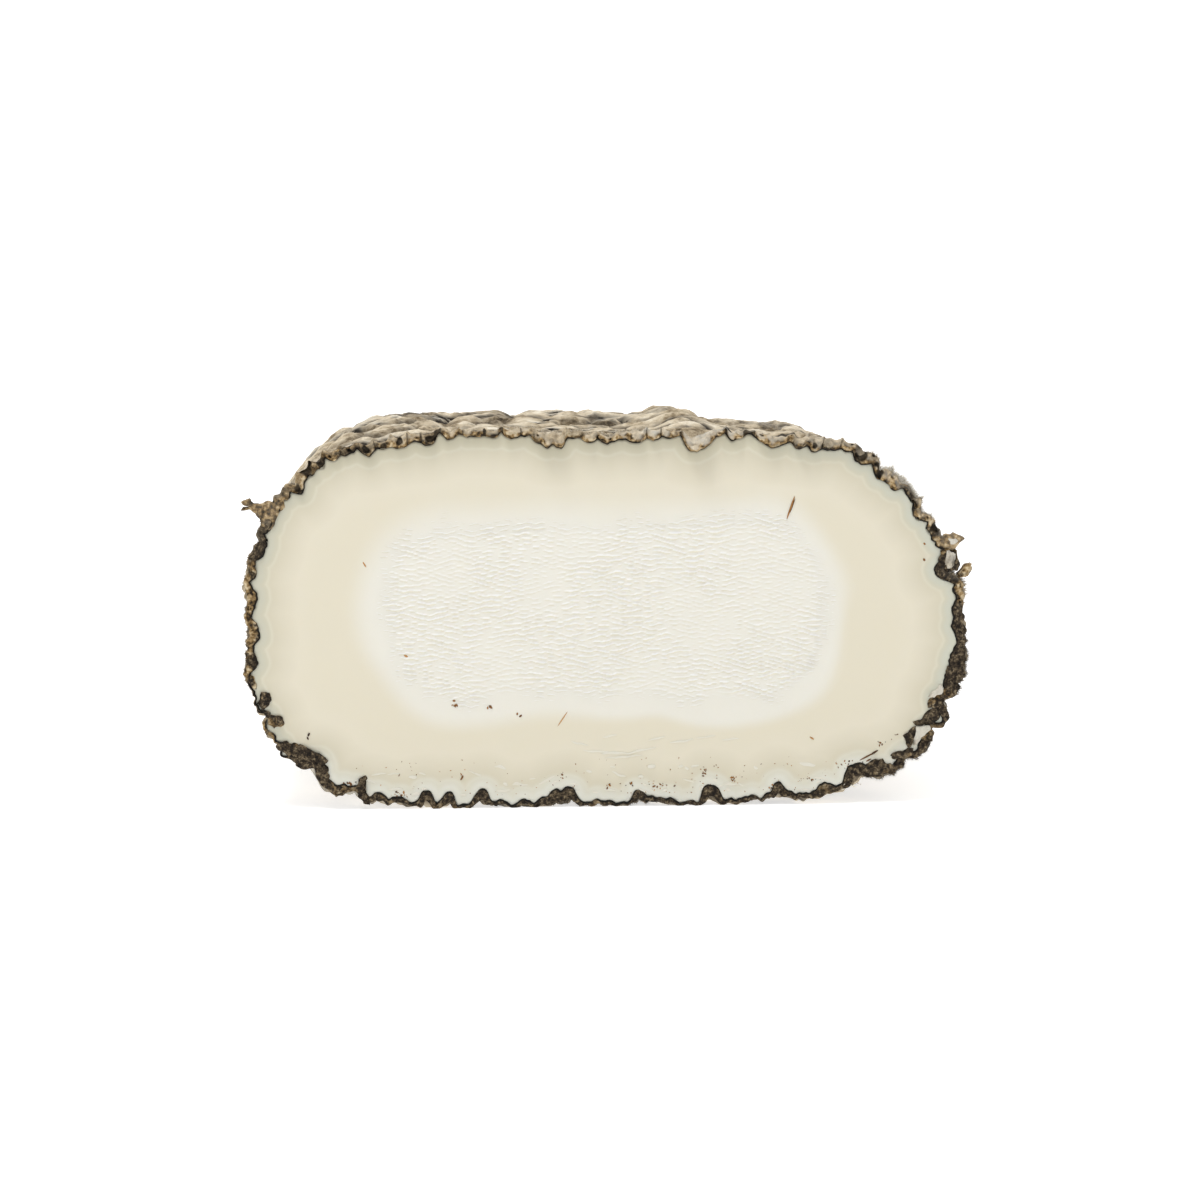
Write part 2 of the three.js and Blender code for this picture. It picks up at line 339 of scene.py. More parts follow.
# Whether a fold or lobe lies between two of the rind's clock positions.
def isBetween(form, name):
    low, high = rind[name]
    return low < form[0] < high


# How far the rind is drawn in at points of one ring of the plain log, how much painted shade its
# hollows, creases, folds and lobes get, and how far off its creases and wrinkles are.
def rindRelief(place, points, along):
    dark = rind["darkness"]
    grown = 1 - rind["cutEase"] * math.exp(-max(along, 0) / rind["cutEaseReach"])
    sunken = np.exp(-np.abs(creaseField(points)) / rind["creaseSharpness"])
    depth = rind["creaseDepth"] * grown * sunken - rind["swellHeight"] * swellField(points)
    crease = lineDistance(creaseWaves, points - rind["lineShift"])
    hollowShade = dark["crease"] * grown * np.exp(-np.abs(crease) / rind["creaseWidth"])
    fade = max(0, 1 - along / rind["foldReach"]) ** 2
    edge = math.exp(-along / rind["lobeReach"])
    for fold, felt in foldShares(place, along):
        ease = rind["pinchShare"] if isBetween(fold, "pinched") else 1
        ease = 1 - edge if isBetween(fold, "overhung") else ease
        depth += fade * ease * fold[1] * felt
        hollowShade += dark["fold"] * fade * ease * felt * min(fold[1] / 2, 1)
    lobed, dim = lobeRelief(place)
    lobed = rind["lobeShare"] * lobed * (0.15 + 0.85 * edge) * math.exp(-along / rind["lobeTail"])
    depth += lobed - edge * byClock("edgeRise", place)
    depth += rind["lip"] * max(0, 1 - along) ** 2
    hollowShade += dark["lobe"] * edge * dim
    clock = clockOf(place)
    for middle, reach, inward, atCut in rind["lengthwise"]:
        ease = atCut + (1 - atCut) * float(smoothStep(*rind["lengthwiseRun"], along))
        depth += ease * inward * bell(clock - middle, reach)
    middle, reach, strength = rind["darkerPatch"]
    hollowShade += strength * bell(clock - middle, reach)
    pleat = lineDistance(wrinkleWaves, points * rind["wrinkleStretch"])
    least, run = rind["cutWrinkles"]
    behind = least + (1 - least) * (1 - math.exp(-along / run))
    pleated = behind * np.exp(-np.abs(pleat) / rind["wrinkleWidth"])
    depth += rind["wrinkleDepth"] * pleated
    hollowShade += dark["wrinkle"] * pleated
    pleat = lineDistance(wrinkleWaves, (points - rind["lineShift"]) * rind["wrinkleStretch"])
    grain = grainField(points) * (rind["backGrain"] if along > rind["seam"] else 1)
    knob = behind * knobField(points)
    depth -= rind["grainHeight"] * grain + rind["knobHeight"] * knob
    hollowShade = np.clip(hollowShade - dark["grain"] * grain - dark["knob"] * knob, 0, 1.5)
    return depth, (hollowShade * (1 - tornness(place, along)), crease, pleat)


# How deep the lobes hang, and how much painted shade they get.
def lobeRelief(place):
    lobed, dim = np.zeros((2, len(place)))
    rim = outlineAt(place)
    sway = rind["lobeSway"] * ruffleField(np.stack((rim[:, 0], rim[:, 0] * 0 + 9, rim[:, 1]), 1) * 1.2)
    for lobePlace, (_, width, deep, dark) in lobePlaces:
        rounded = np.sqrt(np.clip(1 - (2 * (girthApart(place, lobePlace) + sway) / width) ** 2, 0, None))
        lobed = np.maximum(lobed, rind["lobeDeepness"] * deep * rounded)
        dim = np.maximum(dim, dark * smoothStep(0.3, 0.9, rounded))
    return lobed, dim


# How torn the rind is, which fades behind the cut.
def tornness(place, along):
    torn = np.zeros(len(place))
    for tornPlace, (_, reach, strength) in tornPlaces:
        torn += strength * bell(girthApart(place, tornPlace), reach)
    return np.clip(torn, 0, 1) * math.exp(-max(along, 0) / rind["tornReach"])


# One ring of the plain log: its shares of girth, its points, and the directions out of it.
def plainRing(columns, along, inset=0.0, endward=0.0):
    place = (np.arange(columns) + 0.5) / columns
    rim = outlineAt(place)
    out = outlineDirections(place)
    middle = (1 - inset) * np.clip(rim[:, 0], -log["flatReach"], log["flatReach"])
    across = rim[:, 0] + (middle - rim[:, 0]) * inset
    points = np.stack((across, np.full(columns, along), rim[:, 1] * (1 - inset)), 1)
    turn = endward * math.pi / 2
    level = np.full(columns, math.sin(turn))
    outward = np.stack((out[:, 0] * math.cos(turn), level, out[:, 1] * math.cos(turn)), 1)
    return place, points, outward


# The stations of the far end, to its middle: along, inset, turn towards the end and share of relief.
def endStations(spacing):
    straight = pieceLength - log["endRounding"]
    for share in np.arange(0, 0.74, spacing / (log["endRounding"] * 1.45)):
        turn = share * math.pi / 2
        along = straight + (log["endRounding"] - log["endDome"]) * math.sin(turn)
        yield along, log["endInset"] * (1 - math.cos(turn)), share, 1.0
    for inset in np.concatenate((np.arange(0.42, 0.985, spacing / 42), (1.0,))):
        along = pieceLength - log["endDome"] * ((1 - inset) / (1 - log["endInset"])) ** 2
        yield along, inset, 1.0, min(1, (1 - inset) / (1 - log["endInset"] / 2))


def outerRing(columns, along, inset=0.0, endward=0.0, relief=1.0):
    place, points, outward = plainRing(columns, along, inset, endward)
    depth, looks = rindRelief(place, points, along)
    points = points - outward * (depth * relief)[:, None]
    points[:, 2] = np.maximum(points[:, 2], log["baseSag"] - log["halfHeight"])
    return points, looks


# The outer skin, and the fit of the box behind its edge onto the frame's box.
edgeAlongs = [rind["edgeStart"]]
firstStep, stepGrowth, lastStep = rind["edgeSteps"]
while edgeAlongs[-1] < rind["seam"]:
    edgeAlongs.append(edgeAlongs[-1] + min(firstStep + stepGrowth * edgeAlongs[-1], lastStep))
backAlongs = np.arange(edgeAlongs[-1] + 0.7, pieceLength - log["endRounding"], rind["backStep"])
backColumns = rind["columns"] // rind["backShare"]
edgeRings = [outerRing(rind["columns"], along) for along in edgeAlongs]
backRings = [outerRing(backColumns, along) for along in backAlongs]
backRings += [outerRing(backColumns, *station) for station in endStations(rind["backStep"])]
skinPoints = np.concatenate([ring for ring, _ in backRings])
skinLow, skinHigh = skinPoints.min(0), skinPoints.max(0)
skinLow[1] = 0.0
# The top is fitted by its usual height, so that single wrinkles stand out above the frame's box.
skinHigh[2] = np.median([ring[:, 2].max() for ring, _ in backRings[:len(backAlongs)]])
print("highest point", skinPoints[:, 2].max() - skinHigh[2], "above the usual height")
fitScale = (highCorner - lowCorner) / (skinHigh - skinLow)
print("fit onto the frame's box", np.round(fitScale, 4))


def toFrame(points):
    return (lowCorner + (points - skinLow) * fitScale) * mm


# Puts the newest verts at points in metres, with their values for each mark.
def placeVerts(bm, points, marks):
    known = bm.verts.layers.float
    layers = [known.get(name) or known.new(name) for name in marks]
    newest = list(bm.verts)[-len(points):]  # after new layers, which make older references void
    for vert, point, *values in zip(newest, points, *marks.values()):
        vert.co = point
        for layer, value in zip(layers, values):
            vert[layer] = value


# Carries a grid of faces onto rings of points, with a value for each mark at each point.
def addSkin(bm, rings, marks):
    around = np.append(np.arange(len(rings[0])), 0)
    segments = (len(around) - 1, len(rings) - 1)
    bmesh.ops.create_grid(bm, x_segments=segments[0], y_segments=segments[1], size=1)
    points = np.concatenate([toFrame(ring)[around] for ring in rings])
    joined = {name: np.concatenate([row[around] for row in rows]) for name, rows in marks.items()}
    placeVerts(bm, points, joined)


# Repeats a coarse ring's points, so that a fine skin's last row welds onto it.
def repeated(ring, share):
    return np.repeat(ring, share, axis=0)


# Closes an open sheet with walls and a flat back. The walls are made one by one, because an extrusion
# would list them in another order each time.
def closeBehind(bm, thickness):
    rim = [edge for edge in bm.edges if edge.is_boundary]
    behind = {}
    for vert in [vert for edge in rim for vert in edge.verts]:
        if vert not in behind:
            behind[vert] = bm.verts.new(vert.co, vert)
            behind[vert].co.y += thickness * mm
    for edge in rim:
        near, far = edge.verts
        bm.faces.new((near, far, behind[far], behind[near]))
    bmesh.ops.holes_fill(bm, edges=[edge for edge in bm.edges if edge.is_boundary])


def addObject(name, data):
    made = bpy.data.objects.new(name, data)
    bpy.context.scene.collection.objects.link(made)
    return made


def finishPiece(bm, name, material):
    bmesh.ops.remove_doubles(bm, verts=bm.verts, dist=1e-8)
    bmesh.ops.recalc_face_normals(bm, faces=bm.faces)
    openEdges = sum(1 for edge in bm.edges if not edge.is_manifold)
    mesh = bpy.data.meshes.new(name)
    bm.to_mesh(mesh)
    bm.free()
    for polygon in mesh.polygons:
        polygon.use_smooth = True
    mesh.materials.append(material)
    piece = addObject(name, mesh)
    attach(piece, "root")
    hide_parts(cheeseNode)
    triangles = sum(len(polygon.vertices) - 2 for polygon in mesh.polygons)
    print(f"{name}: {triangles} triangles, {openEdges} open edges")


# Small helpers for materials. A socket's id_data is the tree that it belongs to.
def newMaterial(name):
    material = bpy.data.materials.new(name)
    material.use_nodes = True
    return material, material.node_tree, material.node_tree.nodes["Principled BSDF"]


def addNode(tree, kind, settings=None, **inputs):
    node = tree.nodes.new(kind)
    for key, value in (settings or {}).items():
        setattr(node, key, value)
    for key, value in inputs.items():
        setInput(node, int(key[1:]) if key[0] == "_" else key, value)
    return node


def setInput(node, key, value):
    if isinstance(value, bpy.types.NodeSocket):
        node.id_data.links.new(value, node.inputs[key])
    else:
        node.inputs[key].default_value = value


def linear(red, green, blue):
    def channel(value):
        value /= 255
        return value / 12.92 if value <= 0.04045 else ((value + 0.055) / 1.055) ** 2.4
    return (channel(red), channel(green), channel(blue), 1.0)


def mark(tree, name):
    return addNode(tree, "ShaderNodeAttribute", {"attribute_name": name}).outputs["Fac"]


def noise(tree, scale, detail=4.0, roughness=0.55):
    where = addNode(tree, "ShaderNodeTexCoord").outputs["Object"]
    settings = {"Vector": where, "Scale": scale, "Detail": detail, "Roughness": roughness}
    return addNode(tree, "ShaderNodeTexNoise", **settings).outputs["Fac"]


def span(value, fromLow, fromHigh, toLow=0.0, toHigh=1.0):
    made = addNode(value.id_data, "ShaderNodeMapRange", Value=value)
    for end, low, high in (("From", fromLow, fromHigh), ("To", toLow, toHigh)):
        made.inputs[end + " Min"].default_value = low
        made.inputs[end + " Max"].default_value = high
    return made.outputs["Result"]


def math2(operation, first, second):
    made = addNode(first.id_data, "ShaderNodeMath", {"operation": operation}, _0=first, _1=second)
    return made.outputs["Value"]


def blendColour(share, first, second):
    made = addNode(share.id_data, "ShaderNodeMix", {"data_type": "RGBA"}, _0=share, _6=first, _7=second)
    return made.outputs[2]


def ramp(value, stops):
    made = addNode(value.id_data, "ShaderNodeValToRGB", Fac=value)
    elements = made.color_ramp.elements
    while len(elements) < len(stops):
        elements.new(0.5)
    for element, (position, colour) in zip(elements, stops):
        element.position = position
        element.color = colour
    return made.outputs["Color"]


def addBump(shader, height, strength, distance):
    settings = {"Height": height, "Strength": strength, "Distance": distance}
    setInput(shader, "Normal", addNode(height.id_data, "ShaderNodeBump", **settings).outputs["Normal"])


# Rind material: beige mould outside, painted shade in creases and hollows, a dark grainy band where it is
# cut.
rindLook = {
    "bark": ((0.37, linear(74, 62, 46)), (0.43, linear(140, 124, 98)), (0.49, linear(193, 177, 150)),
             (0.57, linear(219, 206, 182)), (0.65, linear(240, 232, 215))),
    "lip": ((0.36, linear(40, 31, 21)), (0.45, linear(110, 88, 56)), (0.54, linear(170, 142, 99)),
            (0.65, linear(216, 198, 164))),
    "band": ((0.36, linear(22, 18, 14)), (0.46, linear(46, 38, 29)), (0.54, linear(82, 70, 54)),
             (0.65, linear(150, 134, 107))),
    "white": linear(226, 221, 208),
    "creaseShade": linear(36, 30, 23),
    "line": linear(26, 23, 19),
    "roughness": 0.9,
    "gloss": 0.25,
    "bump": (0.7, 0.0006),  # strength and height
    # scale, detail and roughness
    "noises": {"patches": (75, 3), "scales": (230, 5, 0.62), "grains": (2200, 3, 0.6),
               "flecks": (800, 4, 0.7), "lip": (950, 3), "band": (1300, 5, 0.75)},
    # name of the mark, width and share in pale patches of the painted shade along it
    "shadeLines": (("crease", 1.3, 0.7), ("pleat", 0.8, 0.3)),
}


def makeRindMaterial():
    material, tree, shader = newMaterial("mouldRind")
    noises = {name: noise(tree, *values) for name, values in rindLook["noises"].items()}
    patches, scales = noises["patches"], noises["scales"]
    mixed = span(patches, 0, 1, -0.1, 0.4)
    for field, share in ((scales, 0.4), (noises["flecks"], 0.3)):
        mixed = math2("ADD", mixed, math2("MULTIPLY", field, share))
    outside = ramp(mixed, rindLook["bark"])
    pale = math2("MULTIPLY", mark(tree, "pale"), span(scales, 0.4, 0.55, 0.35, 1.0))
    outside = blendColour(pale, outside, rindLook["white"])
    lip, band = (ramp(noises[name], rindLook[name]) for name in ("lip", "band"))
    patchy = span(scales, 0.4, 0.6, -0.45, 0.45)
    golden = math2("ADD", patchy, mark(tree, "skinEdge"))
    dark = blendColour(span(golden, 0.35, 0.65), band, lip)
    colour = blendColour(mark(tree, "cut"), outside, dark)
    # Painted shade: the dark shade colour laid into the hollows, creases, folds and lobes.
    shade = math2("ADD", mark(tree, "hollowShade"), span(scales, 0.3, 0.7, 0.25, -0.25))
    shade = span(shade, 0.4, 1.2, 0.0, 0.85)
    # Painted shade in thin lines along the creases and wrinkles.
    for name, wide, broken in rindLook["shadeLines"]:
        off = math2("ABSOLUTE", mark(tree, name), 0.0)
        off = math2("ADD", off, span(scales, 0.3, 0.7, 0.35 * wide, -0.35 * wide))
        whole = span(patches, 0.42, 0.56, broken, 1.0)
        shadeStroke = math2("MULTIPLY", span(off, 0.1 * wide, wide, 1.0, 0.0), whole)
        shade = math2("MAXIMUM", shade, shadeStroke)
    colour = blendColour(shade, colour, rindLook["creaseShade"])
    colour = blendColour(mark(tree, "line"), colour, rindLook["line"])
    setInput(shader, "Base Color", colour)
    setInput(shader, "Roughness", rindLook["roughness"])
    setInput(shader, "Specular IOR Level", rindLook["gloss"])
    addBump(shader, math2("ADD", noises["grains"], scales), *rindLook["bump"])
    return material


# Paste material: grey beside the rind, cream further in, chalky white in the core,
# with painted shade under the curd's ridges and painted highlight on their crests.
pasteLook = {
    # millimetres from the rind, and colour
    "layers": (
        (0.0, linear(156, 149, 128)), (0.4, linear(200, 194, 171)), (1.7, linear(209, 203, 180)),
        (2.1, linear(217, 212, 192)), (2.6, linear(214, 207, 185)), (4.2, linear(219, 212, 191)),
        (7.2, linear(227, 220, 200)), (10.0, linear(226, 219, 198)),
    ),
    # name of the mark, how far from the rind its tint is whole and where it ends, and the tint
    "tints": (("cool", 0.9, 2.1, linear(206, 207, 192)), ("bloom", 0.9, 3.0, linear(226, 225, 213))),
    "core": linear(234, 231, 220),
    "ridgeShade": linear(223, 217, 197),  # painted shade under the ridges of the curd
    # painted highlight on the upper sides of the curd's ridges
    "ridgeHighlight": linear(252, 251, 248),
    "roughness": (0.42, 0.72),  # of the cream, and of the core
    "gloss": 0.35,
    "bump": (0.15, 0.0003),  # strength and height
    "gapReach": 12.0,
}


def makePasteMaterial():
    material, tree, shader = newMaterial("cheesePaste")
    core = mark(tree, "core")
    cloud = noise(tree, 60, 3)
    gap = math2("ADD", mark(tree, "gap"), span(cloud, 0, 1, -0.02, 0.02))
    reach = pasteLook["gapReach"]
    colour = ramp(gap, [(off / reach, layer) for off, layer in pasteLook["layers"]])
    for name, near, far, tint in pasteLook["tints"]:
        beside = span(gap, near / reach, far / reach, 1.0, 0.0)
        share = math2("MULTIPLY", mark(tree, name), beside)
        colour = blendColour(share, colour, tint)
    # The core's colour with painted shade under the curd's ridges and painted highlight on their crests.
    slope = mark(tree, "slope")
    shadedCore = blendColour(span(slope, 0, 1), pasteLook["core"], pasteLook["ridgeShade"])
    shadedCore = blendColour(span(slope, 0, -1), shadedCore, pasteLook["ridgeHighlight"])
    colour = blendColour(core, colour, shadedCore)
    setInput(shader, "Base Color", colour)
    setInput(shader, "Roughness", span(core, 0, 1, *pasteLook["roughness"]))
    setInput(shader, "Specular IOR Level", pasteLook["gloss"])
    setInput(shader, "Subsurface Weight", 0.1)
    setInput(shader, "Subsurface Radius", (1.0, 0.8, 0.55))
    setInput(shader, "Subsurface Scale", 0.0012)
    addBump(shader, math2("MULTIPLY", noise(tree, 1500, 3), core), *pasteLook["bump"])
    return material


rindMaterial = makeRindMaterial()
pasteMaterial = makePasteMaterial()
print("materials made")


# The cut band of the rind: its outer edge, and its width, which holds round every lobe.
def cutBand():
    place, points, outward = plainRing(rind["columns"], 0.0)
    depth = rindRelief(place, points, 0.0)[0]
    width = byClock("bandWidth", place)
    width = width * (1 + rind["bandWobble"] * wrinkleField(points * 1.9 + 40).clip(-1.8, 2.2))
    hung = depth + (1 - rind["lobeShare"]) * lobeRelief(place)[0]
    for fold, felt in foldShares(place, 0.0):
        width += fold[3] * felt
        hung += isBetween(fold, "pinched") * (1 - rind["pinchShare"]) * fold[1] * felt
    step = girth / rind["columns"]
    inner = hung + width
    least, most = rind["bandRange"]
    for off in range(1, int(most / step)):
        for turn in (off, -off):
            reach = np.sqrt(np.clip(np.roll(width, turn) ** 2 - (off * step) ** 2, 0, None))
            inner = np.maximum(inner, np.roll(hung, turn) + np.where(reach > 0, reach, -9))
    broad, fine = rind["bandRuffles"]
    inner = smoothed(inner + broad * ruffleField(points), rind["bandEase"])
    inner = inner + fine * ruffleField(points * 2.4 + 5)
    return place, points, outward, depth, np.maximum(inner - depth, least)


bandPlace, bandBase, bandOut, bandDepth, bandWide = cutBand()


def bandRing(across, along):
    points = bandBase - bandOut * (bandDepth + bandWide * across)[:, None]
    points[:, 1] = along
    points[:, 2] = np.maximum(points[:, 2], log["baseSag"] - log["halfHeight"])
    return points


# Small holes, painted with shade, where the skin has curled up on itself, in the middle of the darkest
# lobes.
def pitShare(across):
    share = np.zeros(len(bandPlace))
    for lobePlace, lobe in lobePlaces:
        if lobe[3] >= rind["pitDarkness"] and not isBetween(lobe, "pitless"):
            apart = np.hypot(girthApart(bandPlace, lobePlace), bandWide * (across - rind["pitMiddle"]))
            apart = apart * (1 + rind["pitRoughness"] * ruffleField(bandRing(across, 4.0) * 1.4))
            share = np.maximum(share, np.exp(-((apart / (rind["pitSize"] * lobe[1])) ** 4)))
    return share


# Where the mould is whitest: high on the right, in torn places, and in patches elsewhere.
def paleness(place, points, along):
    clock = clockOf(place)
    middle, reach, strength = rind["paleRight"]
    share = strength * bell(clock - middle, reach)
    middle, reach, strength = rind["paleFront"]
    share += strength * (bell(clock - middle, reach) * math.exp(-max(along, 0) / rind["paleFrontReach"]))
    return np.clip(share + rind["paleTone"] * toneField(points) + tornness(place, along), 0, 0.95)


rindMarks = ("hollowShade", "crease", "pleat", "cut", "skinEdge", "line", "pale")
unmarked = (0.0, 9.0, 9.0)  # no painted shade, and not near a crease or wrinkle


def makeRind():
    columns = rind["columns"]
    golden = byClock("golden", bandPlace)
    rings = []
    marks = {name: [] for name in rindMarks}

    def add(ring, looks, cut, edge, line):
        rings.append(ring)
        for name, value in zip(rindMarks, (*looks, cut, edge, line)):
            marks[name].append(np.zeros(len(ring)) + value)
        place = (np.arange(len(ring)) + 0.5) / len(ring)
        marks["pale"].append(paleness(place, ring, ring[:, 1].max()))

    innerRings = []
    inside = [(rind["seam"] + 1, 0.0, 0.0), (40.0, 0.0, 0.0)]
    inside += [station[:3] for station in endStations(8.0)]
    for station in inside:
        _, points, outward = plainRing(backColumns, *station)
        innerRings.append(points - outward * rind["innerWall"])
    add(repeated(innerRings[0], rind["backShare"]), unmarked, 1, 0, 1)
    _, points, outward = plainRing(columns, 3.0)
    add(points - outward * rind["innerWall"], unmarked, 1, 0, 1)
    for along in (0.5, 0.02):
        add(bandRing(1.0, along), unmarked, 1, 0, 1)
    unbroken = 2.4 * byClock("lineShare", bandPlace) - 1.2
    broken = smoothStep(-0.7, 0.5, wrinkleField(bandBase * 2.3 + 7) + unbroken)
    curtain = byClock("curtain", bandPlace)
    lobed = lobeRelief(bandPlace)[0]
    # Painted shade in the arches between the hanging lobes.
    archShade = curtain * (1 - smoothStep(0.1, 0.5, lobed + 0.25 * ruffleField(bandBase * 1.7)))
    for across in np.linspace(0.95, 0.0, rind["bandRows"]):
        ring = bandRing(across, 0.0)
        inset = bandWide * (1 - across)
        bulge = rind["lift"] * (1 + 2 * golden) * (1 + 0.9 * grainField(ring * 1.6))
        roll = 0.35 + 0.65 * math.sin(math.pi * min(across + 0.15, 0.85))
        bead = rind["beadHeight"] * curtain * lobed * math.sin(math.pi * (0.9 - 0.8 * across))
        pit = pitShare(across)
        ring[:, 1] = -bulge.clip(0.03, 0.7) * roll - bead * smoothStep(0, 0.4, inset)
        ring[:, 1] += rind["pitDepth"] * pit
        dark = broken * smoothStep(-0.5, -0.2, -inset)
        skin = rind["skinShare"] * curtain * smoothStep(0.6, 1.5, inset + 0.35 * ruffleField(ring * 1.3))
        add(ring, (np.maximum(1.6 * pit, 1.4 * archShade), 9, 9), 1 - skin, golden, dark)
    for along, (ring, looks) in zip(edgeAlongs, edgeRings):
        fresh = math.exp(-((along / rind["freshReach"]) ** 2))
        add(ring, looks, fresh * (0.4 + 0.6 * golden) * (1 - 0.8 * curtain), golden, 0)
    edgeCount = len(rings)
    for ring, looks in backRings:
        add(ring, looks, 0, 0, 0)

    def edgeOf(values):
        return values[:edgeCount] + [repeated(values[edgeCount], rind["backShare"])]

    bm = bmesh.new()
    addSkin(bm, edgeOf(rings), {name: edgeOf(values) for name, values in marks.items()})
    addSkin(bm, rings[edgeCount:], {name: values[edgeCount:] for name, values in marks.items()})
    hidden = [np.zeros(backColumns)] * len(innerRings)
    addSkin(bm, innerRings, {name: hidden for name in marks})
    finishPiece(bm, "rind", rindMaterial)


makeRind()


# The paste: its cut face from the creamy layer to the core, and a plain back inside the rind.
paste = {
    "rimStep": 0.3,
    "rimRows": 26,
    "coreInset": 0.27,
    "coreRows": 40,
    "coreMiddle": (0.2, 2.8),  # across and up from the section's middle
    "coreHalf": (43.4, 20.2),
    "coreCorner": 16.0,
    "coreSoft": {"top": 4.6, "bottom": 1.3, "left": 3.4, "right": 1.5},
    # across, width and height of dips in the core's lower edge
    "coreDips": ((26.0, 11.0, -1.2), (9.5, 4.0, 0.9), (-14.0, 14.0, 0.3)),
    "coreWobble": 0.5,
    "level": 0.1,  # how far the face lies behind the cut plane
    "waveHeight": 0.03,
    "wobbleWavelength": 24,
    "patchWavelength": 17,
    "tuck": 0.5,  # how far its edge dips under the rind
    "under": 0.35,  # how far it starts under the rind
    "leastStep": 0.06,
    "rimEase": (0.2, 0.35),  # how far the rim's form is evened out, and how that grows inwards
    "rimFade": 14,  # how far in the rim's form is felt
    # share, and where it begins and is whole: across on the sides, up along the base
    "cool": ((0.8, 18, 58), (0.5, -46, -60)),
    "bloom": (0.9, -19, -27),
    "innerShare": 4,  # columns of the rim to one of the core
    "back": ((60.0, 8.0), (3.5, 7.5)),  # along, and depth under the skin
    "backMiddle": (0.0, 70.0, 0.0),
    "seed": 907,
}
pasteNumbers = seededNumbers(paste["seed"])
wobbleField = waveField(paste["wobbleWavelength"], pasteNumbers)
patchField = waveField(paste["patchWavelength"], pasteNumbers)
boundary = bandRing(1.0, 0.0)[:, (0, 2)]


def gapToRind(points):
    gaps = []
    for chunk in np.array_split(points[:, (0, 2)], 8):
        apart = chunk[:, None, :] - boundary[None, :, :]
        gaps.append(np.sqrt((apart ** 2).sum(2).min(1)))
    return np.clip(np.concatenate(gaps) / pasteLook["gapReach"], 0, 1)


# How far points lie in the chalky core: a share, and a distance that is negative inside.
def coreShare(points):
    offset = points[:, (0, 2)] - np.array(paste["coreMiddle"])
    reach = np.abs(offset) - (np.array(paste["coreHalf"]) - paste["coreCorner"])
    outside = np.hypot(*np.maximum(reach, 0).T) + np.minimum(reach.max(1), 0) - paste["coreCorner"]
    outside = outside + paste["coreWobble"] * wobbleField(points)
    for across, width, rise in paste["coreDips"]:
        outside += rise * bell(points[:, 0] - across, width) * smoothStep(0, -12, offset[:, 1])
    soft = paste["coreSoft"]
    steep = np.abs(offset[:, 1]) / (np.abs(offset[:, 0]) * 0.4 + np.abs(offset[:, 1]) + 0.01)
    upright = np.where(offset[:, 1] > 0, soft["top"], soft["bottom"])
    level = np.where(offset[:, 0] > 0, soft["right"], soft["left"])
    return 1 - smoothStep(-1, 1, outside / (level + (upright - level) * steep)), outside


def faceLevel(points):
    return paste["level"] + paste["waveHeight"] * wobbleField(points * (0.7, 0, 0.7) + 11)


def faceRing(points):
    points[:, 1] = faceLevel(points)
    return points, gapToRind(points), coreShare(points)[0]


# Where the paste beside the rind is bluish: on the sides. Along the base it is pale.
def coolShare(points):
    sides = [share * smoothStep(start, whole, points[:, 0]) for share, start, whole in paste["cool"]]
    return np.maximum(*sides) * (1 - bloomShare(points))


def bloomShare(points):
    share, start, whole = paste["bloom"]
    return share * smoothStep(start, whole, points[:, 2])


def makePaste():
    columns = rind["columns"]
    rings, gaps, cores = [], [], []

    def add(ring, gap, core):
        rings.append(ring)
        gaps.append(np.zeros(len(ring)) + gap)
        cores.append(np.zeros(len(ring)) + core)

    def marksOf(faceRings, gap, core):
        cool, bloom = ([share(ring) for ring in faceRings] for share in (coolShare, bloomShare))
        return {"gap": gap, "core": core, "cool": cool, "bloom": bloom}

    add(np.zeros((columns, 3)) + paste["backMiddle"], 1, 0)
    for along, depth in paste["back"]:
        _, points, outward = plainRing(columns, along)
        add(points - outward * depth, 1, 0)
    inward = np.full(columns, -9.0)
    ease, growth = paste["rimEase"]
    for row in range(paste["rimRows"]):
        depth = paste["rimStep"] * row
        eased = smoothed(bandDepth + bandWide, ease + growth * depth) * max(0, 1 - depth / paste["rimFade"])
        inward = np.maximum(eased + depth - paste["under"], inward + paste["leastStep"])
        points = bandBase - bandOut * inward[:, None]
        points[:, 2] = np.maximum(points[:, 2], log["baseSag"] - log["halfHeight"] + 0.3 + depth)
        ring, gap, core = faceRing(points)
        ring[:, 1] += paste["tuck"] * smoothStep(0.05, 0.4, bandDepth + bandWide - inward)
        add(ring, gap, core)
    share = paste["innerShare"]
    inner = [faceRing(plainRing(columns // share, 0.0, inset)[1])
             for inset in np.linspace(paste["coreInset"], 1.0, paste["coreRows"])]
    add(*[repeated(values, share) for values in inner[0]])
    bm = bmesh.new()
    addSkin(bm, rings, marksOf(rings, gaps, cores))
    innerRings, innerGaps, innerCores = zip(*inner)
    addSkin(bm, innerRings, marksOf(innerRings, innerGaps, innerCores))
    finishPiece(bm, "paste", pasteMaterial)


makePaste()


